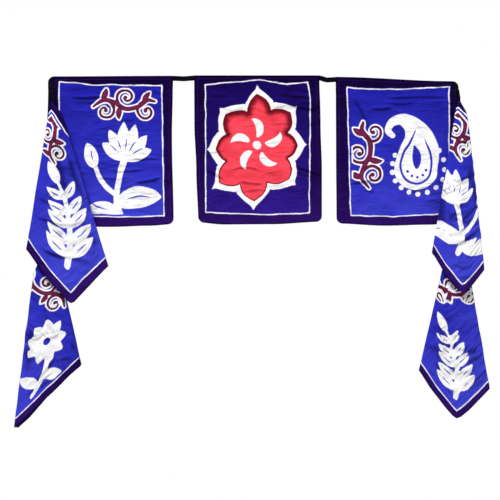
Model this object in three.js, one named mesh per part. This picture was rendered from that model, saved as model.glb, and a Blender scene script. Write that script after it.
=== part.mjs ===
// Garland of seven hand-dyed cotton flags sewn to one dark tape, as it hangs round an opening:
// three flags face on along the top, and two more on each side, caught up by one corner so that
// they fall in long folds from the tape as it runs down.
// Millimetres. X runs along the top, Y goes back towards what holds it, Z is up. The origin is
// the middle of the tape's top edge, on its back face.
import * as THREE from 'three';

// Driving sizes of the cloth and the tape
const CLOTH_THICKNESS = 1.2;
const TAPE_THICKNESS = 1.4;
const TAPE_WIDTH = 10;
const SEWN_GAP = 0.3;
const HALF_CLOTH = CLOTH_THICKNESS / 2;
const HALF_TAPE = TAPE_THICKNESS / 2;
const TAPE_TAIL = 30;

// Depths of the middle of the tape, behind the top flags and in front of their outer edges
const TAPE_BEHIND = -HALF_TAPE;
const TAPE_IN_FRONT = -9;
const CLOTH_STEP = HALF_TAPE + SEWN_GAP + HALF_CLOTH;
const TOP_FLAG_DEPTH = TAPE_BEHIND - CLOTH_STEP;
const NEAR_PLANE = TAPE_IN_FRONT - CLOTH_STEP;
const FAR_PLANE = TAPE_BEHIND - CLOTH_STEP;

// Grid of the flags that hang face on, and the corner radius of their bottom hem
const FACE_COLUMNS = 14;
const FACE_ROWS = 16;
const HEM_CORNER_RADIUS = 8;
const SEWN_STRIP = 14;
const RELIEF_FADE = 30;
const CREASE_END = 2;
const BELLY_AT_SIDES = 0.5;

// Grid of the flags that hang by a corner: rows down from it, and steps round and between folds
const FOLD_ROWS = 10;
const ROW_CROWDING = 1.25;
const BEND_STEP = Math.PI / 8;
const BEND_LEG = 0.45;
const STRAIGHT_STEP = 32;
const THIN_CORNER = 44;
const EDGE_PASSES = 7;
const CORNER_PASSES = 24;
const CORNER_MERGE = 0.3;
const SMALLEST = 1e-3;
const WELDS_PER_MM = 1e4;
const LEAST_BEND_PIECES = 2;
const LEAST_END = 0.02;

// Distances from the corner: where the folds have their lower places, and where their depths
// have grown to the upper ones
const LOWER_STATION = 300;
const DEPTH_STATION = 70;

const RIGHT_ANGLE = Math.PI / 2;
const degrees = THREE.MathUtils.degToRad;

// Flags face on. sides: how far down, and where the left and right edges stand there.
// top and hem: height of the edge at a share of the way across. creases: soft ridges from one
// point to another, how wide each spreads and how far it stands forward. belly: how far the
// middle and the hem swing forward.
const FACE_FLAGS = [
  {
    name: 'flag_left_inner',
    top: [[0, -2], [1, -0.8]],
    hem: [[0, -303], [0.5, -303.8], [0.8, -301.5], [1, -298.5]],
    sides: [
      { z: 0, left: -408, right: -168 },
      { z: -22, left: -408, right: -168.4 },
      { z: -36, left: -418.5, right: -168.8 },
      { z: -120, left: -421, right: -170.4 },
      { z: -300, left: -419, right: -167 },
    ],
    creases: [
      { x0: -390, z0: -43, x1: -290, z1: -46, spread: 9, lift: 1.6 },
      { x0: -300, z0: -172, x1: -172, z1: -178, spread: 10, lift: 2.2 },
      { x0: -290, z0: -208, x1: -172, z1: -205, spread: 9, lift: 1.8 },
    ],
    belly: 2.4,
  },
  {
    name: 'flag_centre',
    top: [[0, 0], [1, 0]],
    hem: [[0, -295], [0.2, -299], [0.6, -298.4], [1, -293.5]],
    sides: [
      { z: 0, left: -126, right: 125 },
      { z: -95, left: -125.6, right: 127.4 },
      { z: -192, left: -121.6, right: 130 },
      { z: -300, left: -117.5, right: 130 },
    ],
    creases: [
      { x0: 40, z0: -56, x1: 128, z1: -50, spread: 11, lift: 2.4 },
      { x0: -110, z0: -186, x1: 20, z1: -196, spread: 13, lift: 2.2 },
      { x0: 30, z0: -190, x1: 128, z1: -182, spread: 12, lift: 2.0 },
    ],
    belly: 4,
  },
  {
    name: 'flag_right_inner',
    top: [[0, -3], [1, -11.8]],
    hem: [[0, -297], [0.4, -301.4], [0.75, -299.4], [1, -296]],
    sides: [
      { z: 0, left: 157.6, right: 393.4 },
      { z: -33, left: 157.8, right: 393.4 },
      { z: -47, left: 158, right: 403.5 },
      { z: -150, left: 158.4, right: 405 },
      { z: -300, left: 159.4, right: 403 },
    ],
    creases: [
      { x0: 176, z0: -46, x1: 384, z1: -50, spread: 9, lift: 1.8 },
      { x0: 182, z0: -40, x1: 222, z1: -112, spread: 9, lift: 2.0 },
      { x0: 200, z0: -205, x1: 380, z1: -208, spread: 10, lift: 2.0 },
    ],
    belly: 2.4,
  },
];

// Flags hung by a corner. corner: where the corner is sewn to the tape. cut: length of the sewn
// edge and of the free edge beside it. station: how far from the corner the upper places hold.
// narrowing: how far the bias draws in across. folds: the
// section of the folds, from the sewn edge to the free one, as angles across from straight down
// and depths forward of the tape, at the upper and the lower station. fall: how far down each
// line reaches, as a share of its flat length: more where the bias gives, less where it crumples.
const DROP_FLAGS = [
  {
    name: 'flag_left_upper',
    corner: { x: -411, y: NEAR_PLANE, z: -49 },
    cut: { width: 256, height: 300 },
    station: 36,
    narrowing: 0.95,
    folds: [
      { line: 'sewn edge', upper: [0, 0], lower: [0, 0], fall: 1 },
      { line: 'first fold', upper: [7, 0], lower: [10.7, 0], fall: 1 },
      { line: 'first fold', upper: [7, 5], lower: [10.7, 6], fall: 1 },
      { line: 'left fold', upper: [-9.5, 5], lower: [-9.2, 6], fall: 0.99 },
      { line: 'left fold', upper: [-9.5, 13], lower: [-9.2, 13], fall: 0.98 },
      { line: 'front', upper: [3, 22], lower: [-3, 18], fall: 1.02 },
      { line: 'front', upper: [17, 26], lower: [4, 21], fall: 1.05 },
      { line: 'front', upper: [28, 22], lower: [12, 19], fall: 1.05 },
      { line: 'right fold', upper: [36, 15], lower: [19.2, 15], fall: 1.06 },
      { line: 'right fold', upper: [36, 10], lower: [19.2, 10], fall: 1.06 },
      { line: 'free edge', upper: [26, 9.5], lower: [-9, 9.8], fall: 1 },
    ],
  },
  {
    name: 'flag_left_lower',
    corner: { x: -420, y: FAR_PLANE, z: -332 },
    cut: { width: 250, height: 294 },
    station: 70,
    narrowing: 0.93,
    folds: [
      { line: 'sewn edge', upper: [-3.5, 0], lower: [-3.5, 0], fall: 1 },
      { line: 'right fold', upper: [24, 0], lower: [15.2, 0], fall: 0.95 },
      { line: 'right fold', upper: [24, 14], lower: [15.2, 17], fall: 0.95 },
      { line: 'front', upper: [2, 18], lower: [4, 20], fall: 0.97 },
      { line: 'left fold', upper: [-22, 14], lower: [-10.6, 17], fall: 1.02 },
      { line: 'left fold', upper: [-22, 9], lower: [-10.6, 12], fall: 1 },
      { line: 'inner fold', upper: [12, 9], lower: [11, 11.5], fall: 0.85 },
      { line: 'inner fold', upper: [12, 5], lower: [11, 6], fall: 0.85 },
      { line: 'free edge', upper: [0, 4.8], lower: [-6, 5.8], fall: 0.88 },
    ],
  },
  {
    name: 'flag_right_upper',
    corner: { x: 403, y: NEAR_PLANE, z: -46 },
    cut: { width: 252, height: 296 },
    station: 36,
    narrowing: 0.97,
    folds: [
      { line: 'sewn edge', upper: [0, 0], lower: [0, 0], fall: 1 },
      { line: 'first fold', upper: [-5, 0], lower: [-6.7, 0], fall: 1 },
      { line: 'first fold', upper: [-5, 4.4], lower: [-6.7, 4.4], fall: 1 },
      { line: 'second fold', upper: [4, 4.4], lower: [6, 4.4], fall: 1 },
      { line: 'second fold', upper: [4, 8.8], lower: [6, 8.8], fall: 1 },
      { line: 'left fold', upper: [-13, 8.8], lower: [-10, 8.8], fall: 0.98 },
      { line: 'left fold', upper: [-13, 17], lower: [-10, 20], fall: 0.97 },
      { line: 'front', upper: [6, 25], lower: [-0.5, 25], fall: 1.04 },
      { line: 'right fold', upper: [26, 21], lower: [8.4, 22], fall: 0.99 },
      { line: 'right fold', upper: [26, 16.8], lower: [8.4, 17.6], fall: 0.99 },
      { line: 'inner fold', upper: [15, 16.8], lower: [-8, 17.2], fall: 0.9 },
      { line: 'inner fold', upper: [15, 12.2], lower: [-8, 13], fall: 0.9 },
      { line: 'free edge', upper: [22, 12.2], lower: [7, 12.9], fall: 0.92 },
    ],
  },
  {
    name: 'flag_right_lower',
    corner: { x: 398, y: FAR_PLANE, z: -328 },
    cut: { width: 244, height: 286 },
    station: 70,
    narrowing: 0.98,
    folds: [
      { line: 'sewn edge', upper: [0, 0], lower: [0, 0], fall: 1 },
      { line: 'first fold', upper: [-6, 0], lower: [-9, 0], fall: 1 },
      { line: 'first fold', upper: [-6, 4.4], lower: [-9, 4.4], fall: 1 },
      { line: 'second fold', upper: [0, 4.4], lower: [-1, 4.4], fall: 0.97 },
      { line: 'second fold', upper: [0, 8.8], lower: [-1, 8.8], fall: 0.97 },
      { line: 'left fold', upper: [-25, 8.8], lower: [-15.8, 8.8], fall: 0.92 },
      { line: 'left fold', upper: [-25, 15], lower: [-15.8, 18], fall: 0.92 },
      { line: 'front', upper: [-2, 21], lower: [-2, 23], fall: 0.985 },
      { line: 'right fold', upper: [22, 17], lower: [12.6, 18], fall: 0.955 },
      { line: 'right fold', upper: [22, 12.4], lower: [12.6, 13.4], fall: 0.95 },
      { line: 'free edge', upper: [4, 12], lower: [-14, 13.2], fall: 0.9 },
    ],
  },
];

// The tape. Along the top: how far across, and the height of its middle line there.
const TAPE_TOP = [
  { x: -407, z: -7 },
  { x: -168, z: -5.8 },
  { x: -147, z: -6.6 },
  { x: -126, z: -5.2 },
  { x: 125, z: -5.2 },
  { x: 141, z: -9 },
  { x: 158, z: -8.2 },
  { x: 392, z: -16.5 },
];
const TURN_RADIUS = 7;
const TURN_STEPS = 6;
const TAPE_STEP = 26;
const SIDE_STEP = 42;
const CROSSING_STEPS = 6;

// Down each side: height, and the place of its middle line there, from the turn to the end
const TAPE_LEFT = [
  { z: -14, x: -414, y: TAPE_BEHIND },
  { z: -27, x: -413, y: TAPE_IN_FRONT },
  { z: -49, x: -410, y: TAPE_IN_FRONT },
  { z: -306, x: -410, y: TAPE_IN_FRONT },
  { z: -331, x: -419, y: TAPE_BEHIND },
  { z: -582 - TAPE_TAIL, x: -436.2, y: TAPE_BEHIND },
];
const TAPE_RIGHT = [
  { z: -23.5, x: 399, y: TAPE_BEHIND },
  { z: -37, x: 400.5, y: TAPE_IN_FRONT },
  { z: -46, x: 402, y: TAPE_IN_FRONT },
  { z: -299, x: 402, y: TAPE_IN_FRONT },
  { z: -326, x: 397, y: TAPE_BEHIND },
  { z: -572 - TAPE_TAIL, x: 397, y: TAPE_BEHIND },
];

// Colours of the cloth and the tape
const FINISHES = {
  cloth: { color: 0x2c28b4, roughness: 0.85, metalness: 0 },
  indigo: { color: 0x1c1086, roughness: 0.85, metalness: 0 },
  tape: { color: 0x0b0910, roughness: 0.9, metalness: 0 },
};

const smooth = (share) => share * share * (3 - 2 * share);

// Value of a column of a table at a place along it, eased from row to row
function along(rows, key, place, column, ease = smooth) {
  const forward = rows[rows.length - 1][key] > rows[0][key] ? 1 : -1;
  const last = rows.length - 1;
  if ((place - rows[0][key]) * forward <= 0) return rows[0][column];
  if ((place - rows[last][key]) * forward >= 0) return rows[last][column];
  const i = rows.findIndex((row, k) => k < last && (rows[k + 1][key] - place) * forward > 0);
  const share = (place - rows[i][key]) / (rows[i + 1][key] - rows[i][key]);
  return THREE.MathUtils.lerp(rows[i][column], rows[i + 1][column], ease(share));
}

// Closed sheet on a grid of points, given a thickness along its own normals
function sheetSolid(grid, halfThickness) {
  const rows = grid.length;
  const columns = grid[0].length;
  const normals = sheetNormals(grid);
  const vertices = [];
  const seen = new Map();
  const place = (i, j, side) => {
    const half = halfThickness(i, j) * side;
    const point = grid[i][j].clone().addScaledVector(normals[i][j], half);
    const key = point.toArray().map((v) => Math.round(v * WELDS_PER_MM)).join();
    if (!seen.has(key)) {
      seen.set(key, vertices.length);
      vertices.push(point);
    }
    return seen.get(key);
  };
  const triangles = [];
  const quad = (a, b, c, d) => {
    for (const face of [[a, b, c], [a, c, d]]) {
      if (new Set(face).size === 3) triangles.push(...face);
    }
  };
  for (let i = 0; i < rows - 1; i += 1) {
    for (let j = 0; j < columns - 1; j += 1) {
      const corners = [[i, j], [i, j + 1], [i + 1, j + 1], [i + 1, j]];
      const [a, b, c, d] = corners.map(([r, s]) => place(r, s, 1));
      const [e, f, g, h] = corners.map(([r, s]) => place(r, s, -1));
      quad(a, d, c, b);
      quad(e, f, g, h);
    }
  }
  const rim = [];
  for (let j = 0; j < columns - 1; j += 1) rim.push([0, j]);
  for (let i = 0; i < rows - 1; i += 1) rim.push([i, columns - 1]);
  for (let j = columns - 1; j > 0; j -= 1) rim.push([rows - 1, j]);
  for (let i = rows - 1; i > 0; i -= 1) rim.push([i, 0]);
  rim.forEach(([i, j], k) => {
    const [m, n] = rim[(k + 1) % rim.length];
    quad(place(i, j, 1), place(m, n, 1), place(m, n, -1), place(i, j, -1));
  });
  return closedGeometry(vertices, triangles);
}

// Unit normals of a grid of points, from the points on either side
function sheetNormals(grid) {
  const last = [grid.length - 1, grid[0].length - 1];
  return grid.map((row, i) => row.map((point, j) => {
    const down = new THREE.Vector3();
    const across = new THREE.Vector3();
    const i1 = Math.max(i, 1);
    down.subVectors(grid[Math.min(i1 + 1, last[0])][j], grid[i1 - 1][j]);
    across.subVectors(grid[i1][Math.min(j + 1, last[1])], grid[i1][Math.max(j - 1, 0)]);
    return across.cross(down).normalize();
  }));
}

// Indexed geometry whose faces are turned to point out
function closedGeometry(vertices, triangles) {
  let volume = 0;
  for (let k = 0; k < triangles.length; k += 3) {
    const [a, b, c] = [0, 1, 2].map((n) => vertices[triangles[k + n]]);
    volume += a.dot(new THREE.Vector3().crossVectors(b, c));
  }
  const order = volume > 0 ? [0, 1, 2] : [0, 2, 1];
  const index = [];
  for (let k = 0; k < triangles.length; k += 3) index.push(...order.map((n) => triangles[k + n]));
  const geometry = new THREE.BufferGeometry();
  const values = vertices.flatMap((v) => v.toArray());
  geometry.setAttribute('position', new THREE.Float32BufferAttribute(values, 3));
  geometry.setIndex(index);
  geometry.computeVertexNormals();
  return geometry;
}

// Height a crease stands forward at a point of a flag
function creaseLift({ x0, z0, x1, z1, spread, lift }, x, z) {
  const [dx, dz] = [x1 - x0, z1 - z0];
  const length = Math.hypot(dx, dz);
  const run = ((x - x0) * dx + (z - z0) * dz) / length;
  const off = ((x - x0) * dz - (z - z0) * dx) / length;
  const past = Math.max(0, -run, run - length);
  return lift * Math.exp(-((off / spread) ** 2) - (past / (CREASE_END * spread)) ** 2);
}

// Flag that hangs face on, flat where it is sewn and softly creased below
function faceFlag({ top, hem, sides, creases, belly }) {
  const heights = (rows, share) => along(rows.map(([at, z]) => ({ at, z })), 'at', share, 'z');
  const reach = Math.abs(sides[sides.length - 1].z);
  const grid = [];
  for (let i = 0; i <= FACE_ROWS; i += 1) {
    const row = [];
    for (let j = 0; j <= FACE_COLUMNS; j += 1) {
      let [u, v] = [j / FACE_COLUMNS, i / FACE_ROWS];
      const width = sides[0].right - sides[0].left;
      const inset = [
        HEM_CORNER_RADIUS - Math.min(u, 1 - u) * width,
        HEM_CORNER_RADIUS - (1 - v) * reach,
      ];
      if (inset[0] > 0 && inset[1] > 0) {
        const pull = 1 - Math.max(...inset) / Math.hypot(...inset);
        u += (Math.sign(0.5 - u) * inset[0] * pull) / width;
        v -= (inset[1] * pull) / reach;
      }
      const z = THREE.MathUtils.lerp(heights(top, u), heights(hem, u), v);
      const [left, right] = ['left', 'right'].map((side) => along(sides, 'z', z, side));
      const x = THREE.MathUtils.lerp(left, right, u);
      const below = THREE.MathUtils.clamp((v * reach - SEWN_STRIP) / RELIEF_FADE, 0, 1);
      const lift = creases.reduce((sum, crease) => sum + creaseLift(crease, x, z), 0)
        + belly * v * THREE.MathUtils.lerp(BELLY_AT_SIDES, 1, Math.sin(Math.PI * u));
      row.push(new THREE.Vector3(x, TOP_FLAG_DEPTH - lift * smooth(below), z));
    }
    grid.push(row);
  }
  return sheetSolid(grid, () => HALF_CLOTH);
}

// Section of the folds at a distance from the corner: points across and forward, each with its
// direction in the flat cloth and how far it falls. The last stretch ends where the cloth does.
function foldSection({ folds, station, narrowing, pieces }, distance) {
  const near = Math.min(1, distance / DEPTH_STATION);
  const [spread, rise] = [station, DEPTH_STATION].map((from) => (
    (1 / Math.max(distance, from) - 1 / LOWER_STATION) / (1 / from - 1 / LOWER_STATION)));
  const knots = folds.map(({ upper, lower }) => new THREE.Vector2(
    distance * degrees(THREE.MathUtils.lerp(lower[0], upper[0], spread)),
    near * THREE.MathUtils.lerp(lower[1], upper[1], rise),
  ));
  const falls = folds.map(({ fall }) => fall);
  const section = [{ at: knots[0], fall: falls[0] }];
  let [from, fromFall] = [knots[0], falls[0]];
  for (let k = 1; k < knots.length; k += 1) {
    const before = knots[k - 1].clone().sub(knots[k]);
    let start = knots[k];
    let startFall = falls[k];
    if (k < knots.length - 1) {
      const after = knots[k + 1].clone().sub(knots[k]);
      const leg = BEND_LEG * Math.min(before.length(), after.length());
      start = knots[k].clone().addScaledVector(before.clone().normalize(), leg);
      startFall = THREE.MathUtils.lerp(falls[k], falls[k - 1], leg / before.length());
      const end = knots[k].clone().addScaledVector(after.clone().normalize(), leg);
      const endFall = THREE.MathUtils.lerp(falls[k], falls[k + 1], leg / after.length());
      addStraight(section, from, start, fromFall, startFall, pieces.straight[k - 1]);
      const bend = new THREE.QuadraticBezierCurve(start, knots[k], end);
      for (let n = 1; n <= pieces.bend[k]; n += 1) {
        const turned = n / pieces.bend[k];
        const fall = THREE.MathUtils.lerp(startFall, endFall, turned);
        section.push({ at: bend.getPoint(turned), fall });
      }
      [from, fromFall] = [end, endFall];
    } else {
      const run = lengthOf(section);
      const left = Math.max(distance * RIGHT_ANGLE * narrowing - run, LEAST_END * distance);
      const way = knots[k].clone().sub(knots[k - 1]).normalize();
      start = from.clone().addScaledVector(way, left);
      addStraight(section, from, start, fromFall, startFall, pieces.straight[k - 1]);
    }
  }
  const full = lengthOf(section);
  let run = 0;
  return section.map(({ at, fall }, k) => {
    if (k > 0) run += at.distanceTo(section[k - 1].at);
    return { angle: (RIGHT_ANGLE * run) / full, across: at.x, depth: at.y, fall };
  });
}

function addStraight(section, from, to, fromFall, toFall, count) {
  for (let n = 1; n <= count; n += 1) {
    const fall = THREE.MathUtils.lerp(fromFall, toFall, n / count);
    section.push({ at: from.clone().lerp(to, n / count), fall });
  }
}

function lengthOf(section) {
  return section.reduce((sum, { at }, k) => (k ? sum + at.distanceTo(section[k - 1].at) : 0), 0);
}

// How many pieces each bend and each straight stretch of a section is drawn in
function sectionPieces(folds) {
  const knots = folds.map(({ lower: [across, depth] }) => (
    new THREE.Vector2(LOWER_STATION * degrees(across), depth)));
  const bend = knots.map((knot, k) => {
    if (k === 0 || k === knots.length - 1) return 0;
    const turn = knot.clone().sub(knots[k - 1]).angleTo(knots[k + 1].clone().sub(knot));
    return Math.max(LEAST_BEND_PIECES, Math.round(turn / BEND_STEP));
  });
  const straight = knots.slice(1).map((knot, k) => (
    Math.max(1, Math.round((knot.distanceTo(knots[k]) - STRAIGHT_STEP) / STRAIGHT_STEP))));
  return { bend, straight };
}

// Distance from the corner to the flag's far edges, in a direction across the flat cloth
function edgeDistance({ width, height }, angle) {
  const [along0, along1] = [Math.cos(angle), Math.sin(angle)].map((v) => Math.max(v, SMALLEST));
  return Math.min(width / along0, height / along1);
}

// Point of the hanging cloth on one line of the section, at a share of the way to the far edge
function hang(flag, column, share) {
  const { corner, cut } = flag;
  let distance = share * Math.min(cut.width, cut.height);
  let point = null;
  for (let pass = 0; pass < EDGE_PASSES; pass += 1) {
    const section = foldSection(flag, Math.max(distance, SMALLEST));
    const low = section[Math.floor(column)];
    const high = section[Math.ceil(column)];
    const part = column - Math.floor(column);
    point = {};
    for (const key of ['angle', 'across', 'depth', 'fall']) {
      point[key] = THREE.MathUtils.lerp(low[key], high[key], part);
    }
    distance = share * edgeDistance(cut, point.angle);
  }
  const length = Math.sqrt(Math.max((distance * point.fall) ** 2 - point.depth ** 2, 0));
  const lean = point.across / Math.max(distance, SMALLEST);
  const place = new THREE.Vector3(
    corner.x + length * Math.sin(lean),
    corner.y - point.depth,
    corner.z - length * Math.cos(lean),
  );
  return { place, distance, angle: point.angle };
}

// Lines of the section that the grid follows, with the one that ends at the lowest corner
function gridLines(flag) {
  const count = foldSection(flag, LOWER_STATION).length;
  const lines = Array.from({ length: count }, (_, j) => j);
  const corner = Math.atan2(flag.cut.height, flag.cut.width);
  let [low, high] = [0, count - 1];
  for (let pass = 0; pass < CORNER_PASSES; pass += 1) {
    const middle = (low + high) / 2;
    if (hang(flag, middle, 1).angle < corner) low = middle;
    else high = middle;
  }
  const nearest = Math.round(low);
  if (Math.abs(low - nearest) < CORNER_MERGE) lines[nearest] = low;
  else lines.splice(Math.ceil(low), 0, low);
  return lines;
}

// Flag that hangs by one corner in long folds
function dropFlag(table) {
  const flag = { ...table, pieces: sectionPieces(table.folds) };
  const lines = gridLines(flag);
  const points = [];
  for (let i = 0; i <= FOLD_ROWS; i += 1) {
    const share = (i / FOLD_ROWS) ** ROW_CROWDING;
    points.push(lines.map((line) => hang(flag, line, share)));
  }
  const grid = points.map((row) => row.map(({ place }) => place));
  return sheetSolid(grid, (i, j) => (
    HALF_CLOTH * Math.min(1, points[i][j].distance / THIN_CORNER)));
}

// Middle line of the tape, from its left end up, along the top and down to its right end
function tapeLine() {
  const side = (rows, sign) => {
    const points = [];
    rows.slice(1).forEach((row, k) => {
      const start = rows[k];
      const straight = start.y === row.y;
      const least = straight ? 1 : CROSSING_STEPS;
      const steps = Math.max(least, Math.round((start.z - row.z) / SIDE_STEP));
      for (let n = k === 0 ? 0 : 1; n <= steps; n += 1) {
        const share = n / steps;
        const eased = straight ? share : smooth(share);
        points.push(new THREE.Vector3(
          THREE.MathUtils.lerp(start.x, row.x, eased),
          THREE.MathUtils.lerp(start.y, row.y, eased),
          THREE.MathUtils.lerp(start.z, row.z, share),
        ));
      }
    });
    return sign < 0 ? points.reverse() : points;
  };
  const turn = (first, down, sign) => {
    const points = [];
    for (let n = 1; n < TURN_STEPS; n += 1) {
      const angle = (RIGHT_ANGLE * n) / TURN_STEPS;
      points.push(new THREE.Vector3(
        first.x + sign * TURN_RADIUS * Math.sin(angle),
        TAPE_BEHIND,
        THREE.MathUtils.lerp(first.z, down.z, 1 - Math.cos(angle)),
      ));
    }
    return sign < 0 ? points.reverse() : points;
  };
  const [first, last] = [TAPE_TOP[0], TAPE_TOP[TAPE_TOP.length - 1]];
  const top = [];
  const steps = Math.round((last.x - first.x) / TAPE_STEP);
  for (let n = 0; n <= steps; n += 1) {
    const x = THREE.MathUtils.lerp(first.x, last.x, n / steps);
    top.push(new THREE.Vector3(x, TAPE_BEHIND, along(TAPE_TOP, 'x', x, 'z')));
  }
  return [
    ...side(TAPE_LEFT, -1), ...turn(first, TAPE_LEFT[0], -1), ...top,
    ...turn(last, TAPE_RIGHT[0], 1), ...side(TAPE_RIGHT, 1),
  ];
}

// Tape swept along its line, its width kept square to the line and its face to the front
function tapeSolid() {
  const line = tapeLine();
  const front = new THREE.Vector3(0, -1, 0);
  const rings = line.map((point, k) => {
    const ahead = line[Math.min(k + 1, line.length - 1)];
    const behind = line[Math.max(k - 1, 0)];
    const run = ahead.clone().sub(behind).normalize();
    const width = run.clone().cross(front).normalize();
    const normal = width.clone().cross(run).normalize();
    return [[1, 1], [1, -1], [-1, -1], [-1, 1]].map(([w, n]) => point.clone()
      .addScaledVector(width, (w * TAPE_WIDTH) / 2)
      .addScaledVector(normal, n * HALF_TAPE));
  });
  const triangles = [];
  const quad = (a, b, c, d) => triangles.push(a, b, c, a, c, d);
  for (let k = 0; k < rings.length - 1; k += 1) {
    for (let s = 0; s < 4; s += 1) {
      const t = (s + 1) % 4;
      quad(4 * k + s, 4 * k + t, 4 * (k + 1) + t, 4 * (k + 1) + s);
    }
  }
  const end = 4 * (rings.length - 1);
  quad(3, 2, 1, 0);
  quad(end, end + 1, end + 2, end + 3);
  return closedGeometry(rings.flat(), triangles);
}

function piece(name, geometry, finish) {
  const mesh = new THREE.Mesh(geometry, new THREE.MeshStandardMaterial(FINISHES[finish]));
  mesh.name = name;
  return mesh;
}

const garland = new THREE.Group();
garland.add(piece('heading_tape', tapeSolid(), 'tape'));
for (const flag of FACE_FLAGS) {
  const finish = flag.name === 'flag_centre' ? 'indigo' : 'cloth';
  garland.add(piece(flag.name, faceFlag(flag), finish));
}
for (const flag of DROP_FLAGS) garland.add(piece(flag.name, dropFlag(flag), 'cloth'));

export default garland;
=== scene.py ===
"""Garland of seven wax-dyed cotton flags on one dark tape, hung round an opening.

Three flags hang face on along the top. Two more on each side are caught up by one corner, so that
they fall in long folds from the tape as it runs down. Every flag is one sheet of cotton, laid out
flat first, so that the dye follows the cloth round each fold. Tables are in millimetres, in the
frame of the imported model: X along the top, Y back towards what holds it, Z up.
"""

from __future__ import annotations

import logging
import math
from dataclasses import dataclass, field
from enum import Enum
from typing import Iterable, Sequence

import bpy
import numpy as np
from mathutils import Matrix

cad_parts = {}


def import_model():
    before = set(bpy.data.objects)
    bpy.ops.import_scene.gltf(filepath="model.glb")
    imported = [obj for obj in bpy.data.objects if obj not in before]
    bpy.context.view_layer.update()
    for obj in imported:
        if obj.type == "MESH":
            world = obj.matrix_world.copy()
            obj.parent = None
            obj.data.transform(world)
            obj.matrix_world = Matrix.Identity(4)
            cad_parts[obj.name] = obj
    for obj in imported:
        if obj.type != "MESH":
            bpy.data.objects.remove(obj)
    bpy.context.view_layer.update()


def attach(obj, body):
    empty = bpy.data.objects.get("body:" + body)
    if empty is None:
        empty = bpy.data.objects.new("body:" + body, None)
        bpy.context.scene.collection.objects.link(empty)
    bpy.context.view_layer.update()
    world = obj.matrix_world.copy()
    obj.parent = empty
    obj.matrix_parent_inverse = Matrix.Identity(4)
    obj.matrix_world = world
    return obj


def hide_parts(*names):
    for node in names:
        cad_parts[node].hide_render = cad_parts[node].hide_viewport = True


Array = np.ndarray
Point = tuple[float, float]
Place = tuple[float, float, float]
Rgb = tuple[float, float, float]

LOG = logging.getLogger("garland")

MM = 0.001
BODY = "root"
RIGHT_ANGLE = math.pi / 2

# The tape's middle line stands behind the top flags and in front of their outer edges
TAPE_BEHIND = -0.7
TAPE_IN_FRONT = -9.0
CLOTH_STEP = 1.6
TOP_FLAG_DEPTH = TAPE_BEHIND - CLOTH_STEP
NEAR_PLANE = TAPE_IN_FRONT - CLOTH_STEP
FAR_PLANE = TAPE_BEHIND - CLOTH_STEP

# The cloth: its thickness, that of the turned hem, and the hem's width
CLOTH_THICKNESS = 0.8
HEM_THICKNESS = 1.3
HEM_WIDTH = 8.0

# Distances between the points of a folded sheet and of one that hangs face on, and the width over
# which the hem thins to single cloth
GRID_STEP = 2.1
FINE_STEP = 1.8
HEM_STEP = 1.2 * GRID_STEP

# Distances from a hung corner: to the folds' lower places, to their full depth, and to where the
# hem, thinned at the corner, has its whole thickness
LOWER_STATION = 300.0
DEPTH_STATION = 70.0
THIN_CORNER = 44.0

# Share of a stretch between two folds that a round bend takes at each end
BEND_LEG = 0.45

# The hem's row of stitches: how far in it stands, and the pitch of its stitches
STITCH_INSET = 6.4
STITCH_PITCH = 3.2

# Half the width over which one dye turns into the next
DYE_EDGE = 0.4


class Slot(Enum):
    """Material slots of the record."""

    CLOTH = "cloth"
    INDIGO = "indigo_cloth"
    TAPE = "tape"


class Held(Enum):
    """How a sheet is held up."""

    HUNG = "hung"
    DRAPED = "draped"


def ease(share: Array | float) -> Array | float:
    """Smooth step from 0 to 1."""
    share = np.clip(share, 0.0, 1.0)
    return share * share * (3 - 2 * share)


def mix(low: Array | float, high: Array | float, share: Array | float) -> Array | float:
    """Straight blend of two values."""
    return low + (high - low) * share


def along(places: Sequence[float], values: Sequence[float], at: Array) -> Array:
    """Value of a table at each place, eased from row to row.

    Args:
        places: Where each row stands, rising or falling.
        values: The value of each row.
        at: Places that are wanted.

    Returns:
        One value for each place.
    """
    stops = np.asarray(places, float)
    found = np.asarray(values, float)
    if stops[0] > stops[-1]:
        stops, found = stops[::-1], found[::-1]
    low = np.clip(np.searchsorted(stops, at, side="right") - 1, 0, len(stops) - 2)
    share = ease((at - stops[low]) / (stops[low + 1] - stops[low]))
    return mix(found[low], found[low + 1], share)


def waves(x: Array, y: Array, seed: int, pitch: Point, count: int = 9) -> Array:
    """Soft uneven relief between about -1 and 1, from plane waves laid at random.

    Args:
        x: Places across.
        y: Places up.
        seed: Seed of the waves.
        pitch: Shortest and longest wave.
        count: Number of waves.

    Returns:
        Height at each place.
    """
    draw = np.random.default_rng(seed)
    height = np.zeros_like(x)
    for _ in range(count):
        length = draw.uniform(*pitch)
        turn = draw.uniform(0, math.pi)
        phase = draw.uniform(0, 2 * math.pi)
        run = x * math.cos(turn) + y * math.sin(turn)
        height += np.sin(2 * math.pi * run / length + phase)
    return height / math.sqrt(count * 2)


@dataclass(frozen=True)
class Crease:
    """Soft ridge from one point to another of a flag that hangs, in X and Z."""

    x0: float
    z0: float
    x1: float
    z1: float
    spread: float
    lift: float

    def height(self, x: Array, z: Array) -> Array:
        """How far the cloth stands forward.

        Args:
            x: Places across.
            z: Places up.

        Returns:
            Height at each place, negative in a trough.
        """
        dx, dz = self.x1 - self.x0, self.z1 - self.z0
        length = math.hypot(dx, dz)
        run = ((x - self.x0) * dx + (z - self.z0) * dz) / length
        off = ((x - self.x0) * dz - (z - self.z0) * dx) / length
        past = np.maximum(0, np.maximum(-run, run - length))
        return self.lift * np.exp(-((off / self.spread) ** 2) - (past / (2 * self.spread)) ** 2)


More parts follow.
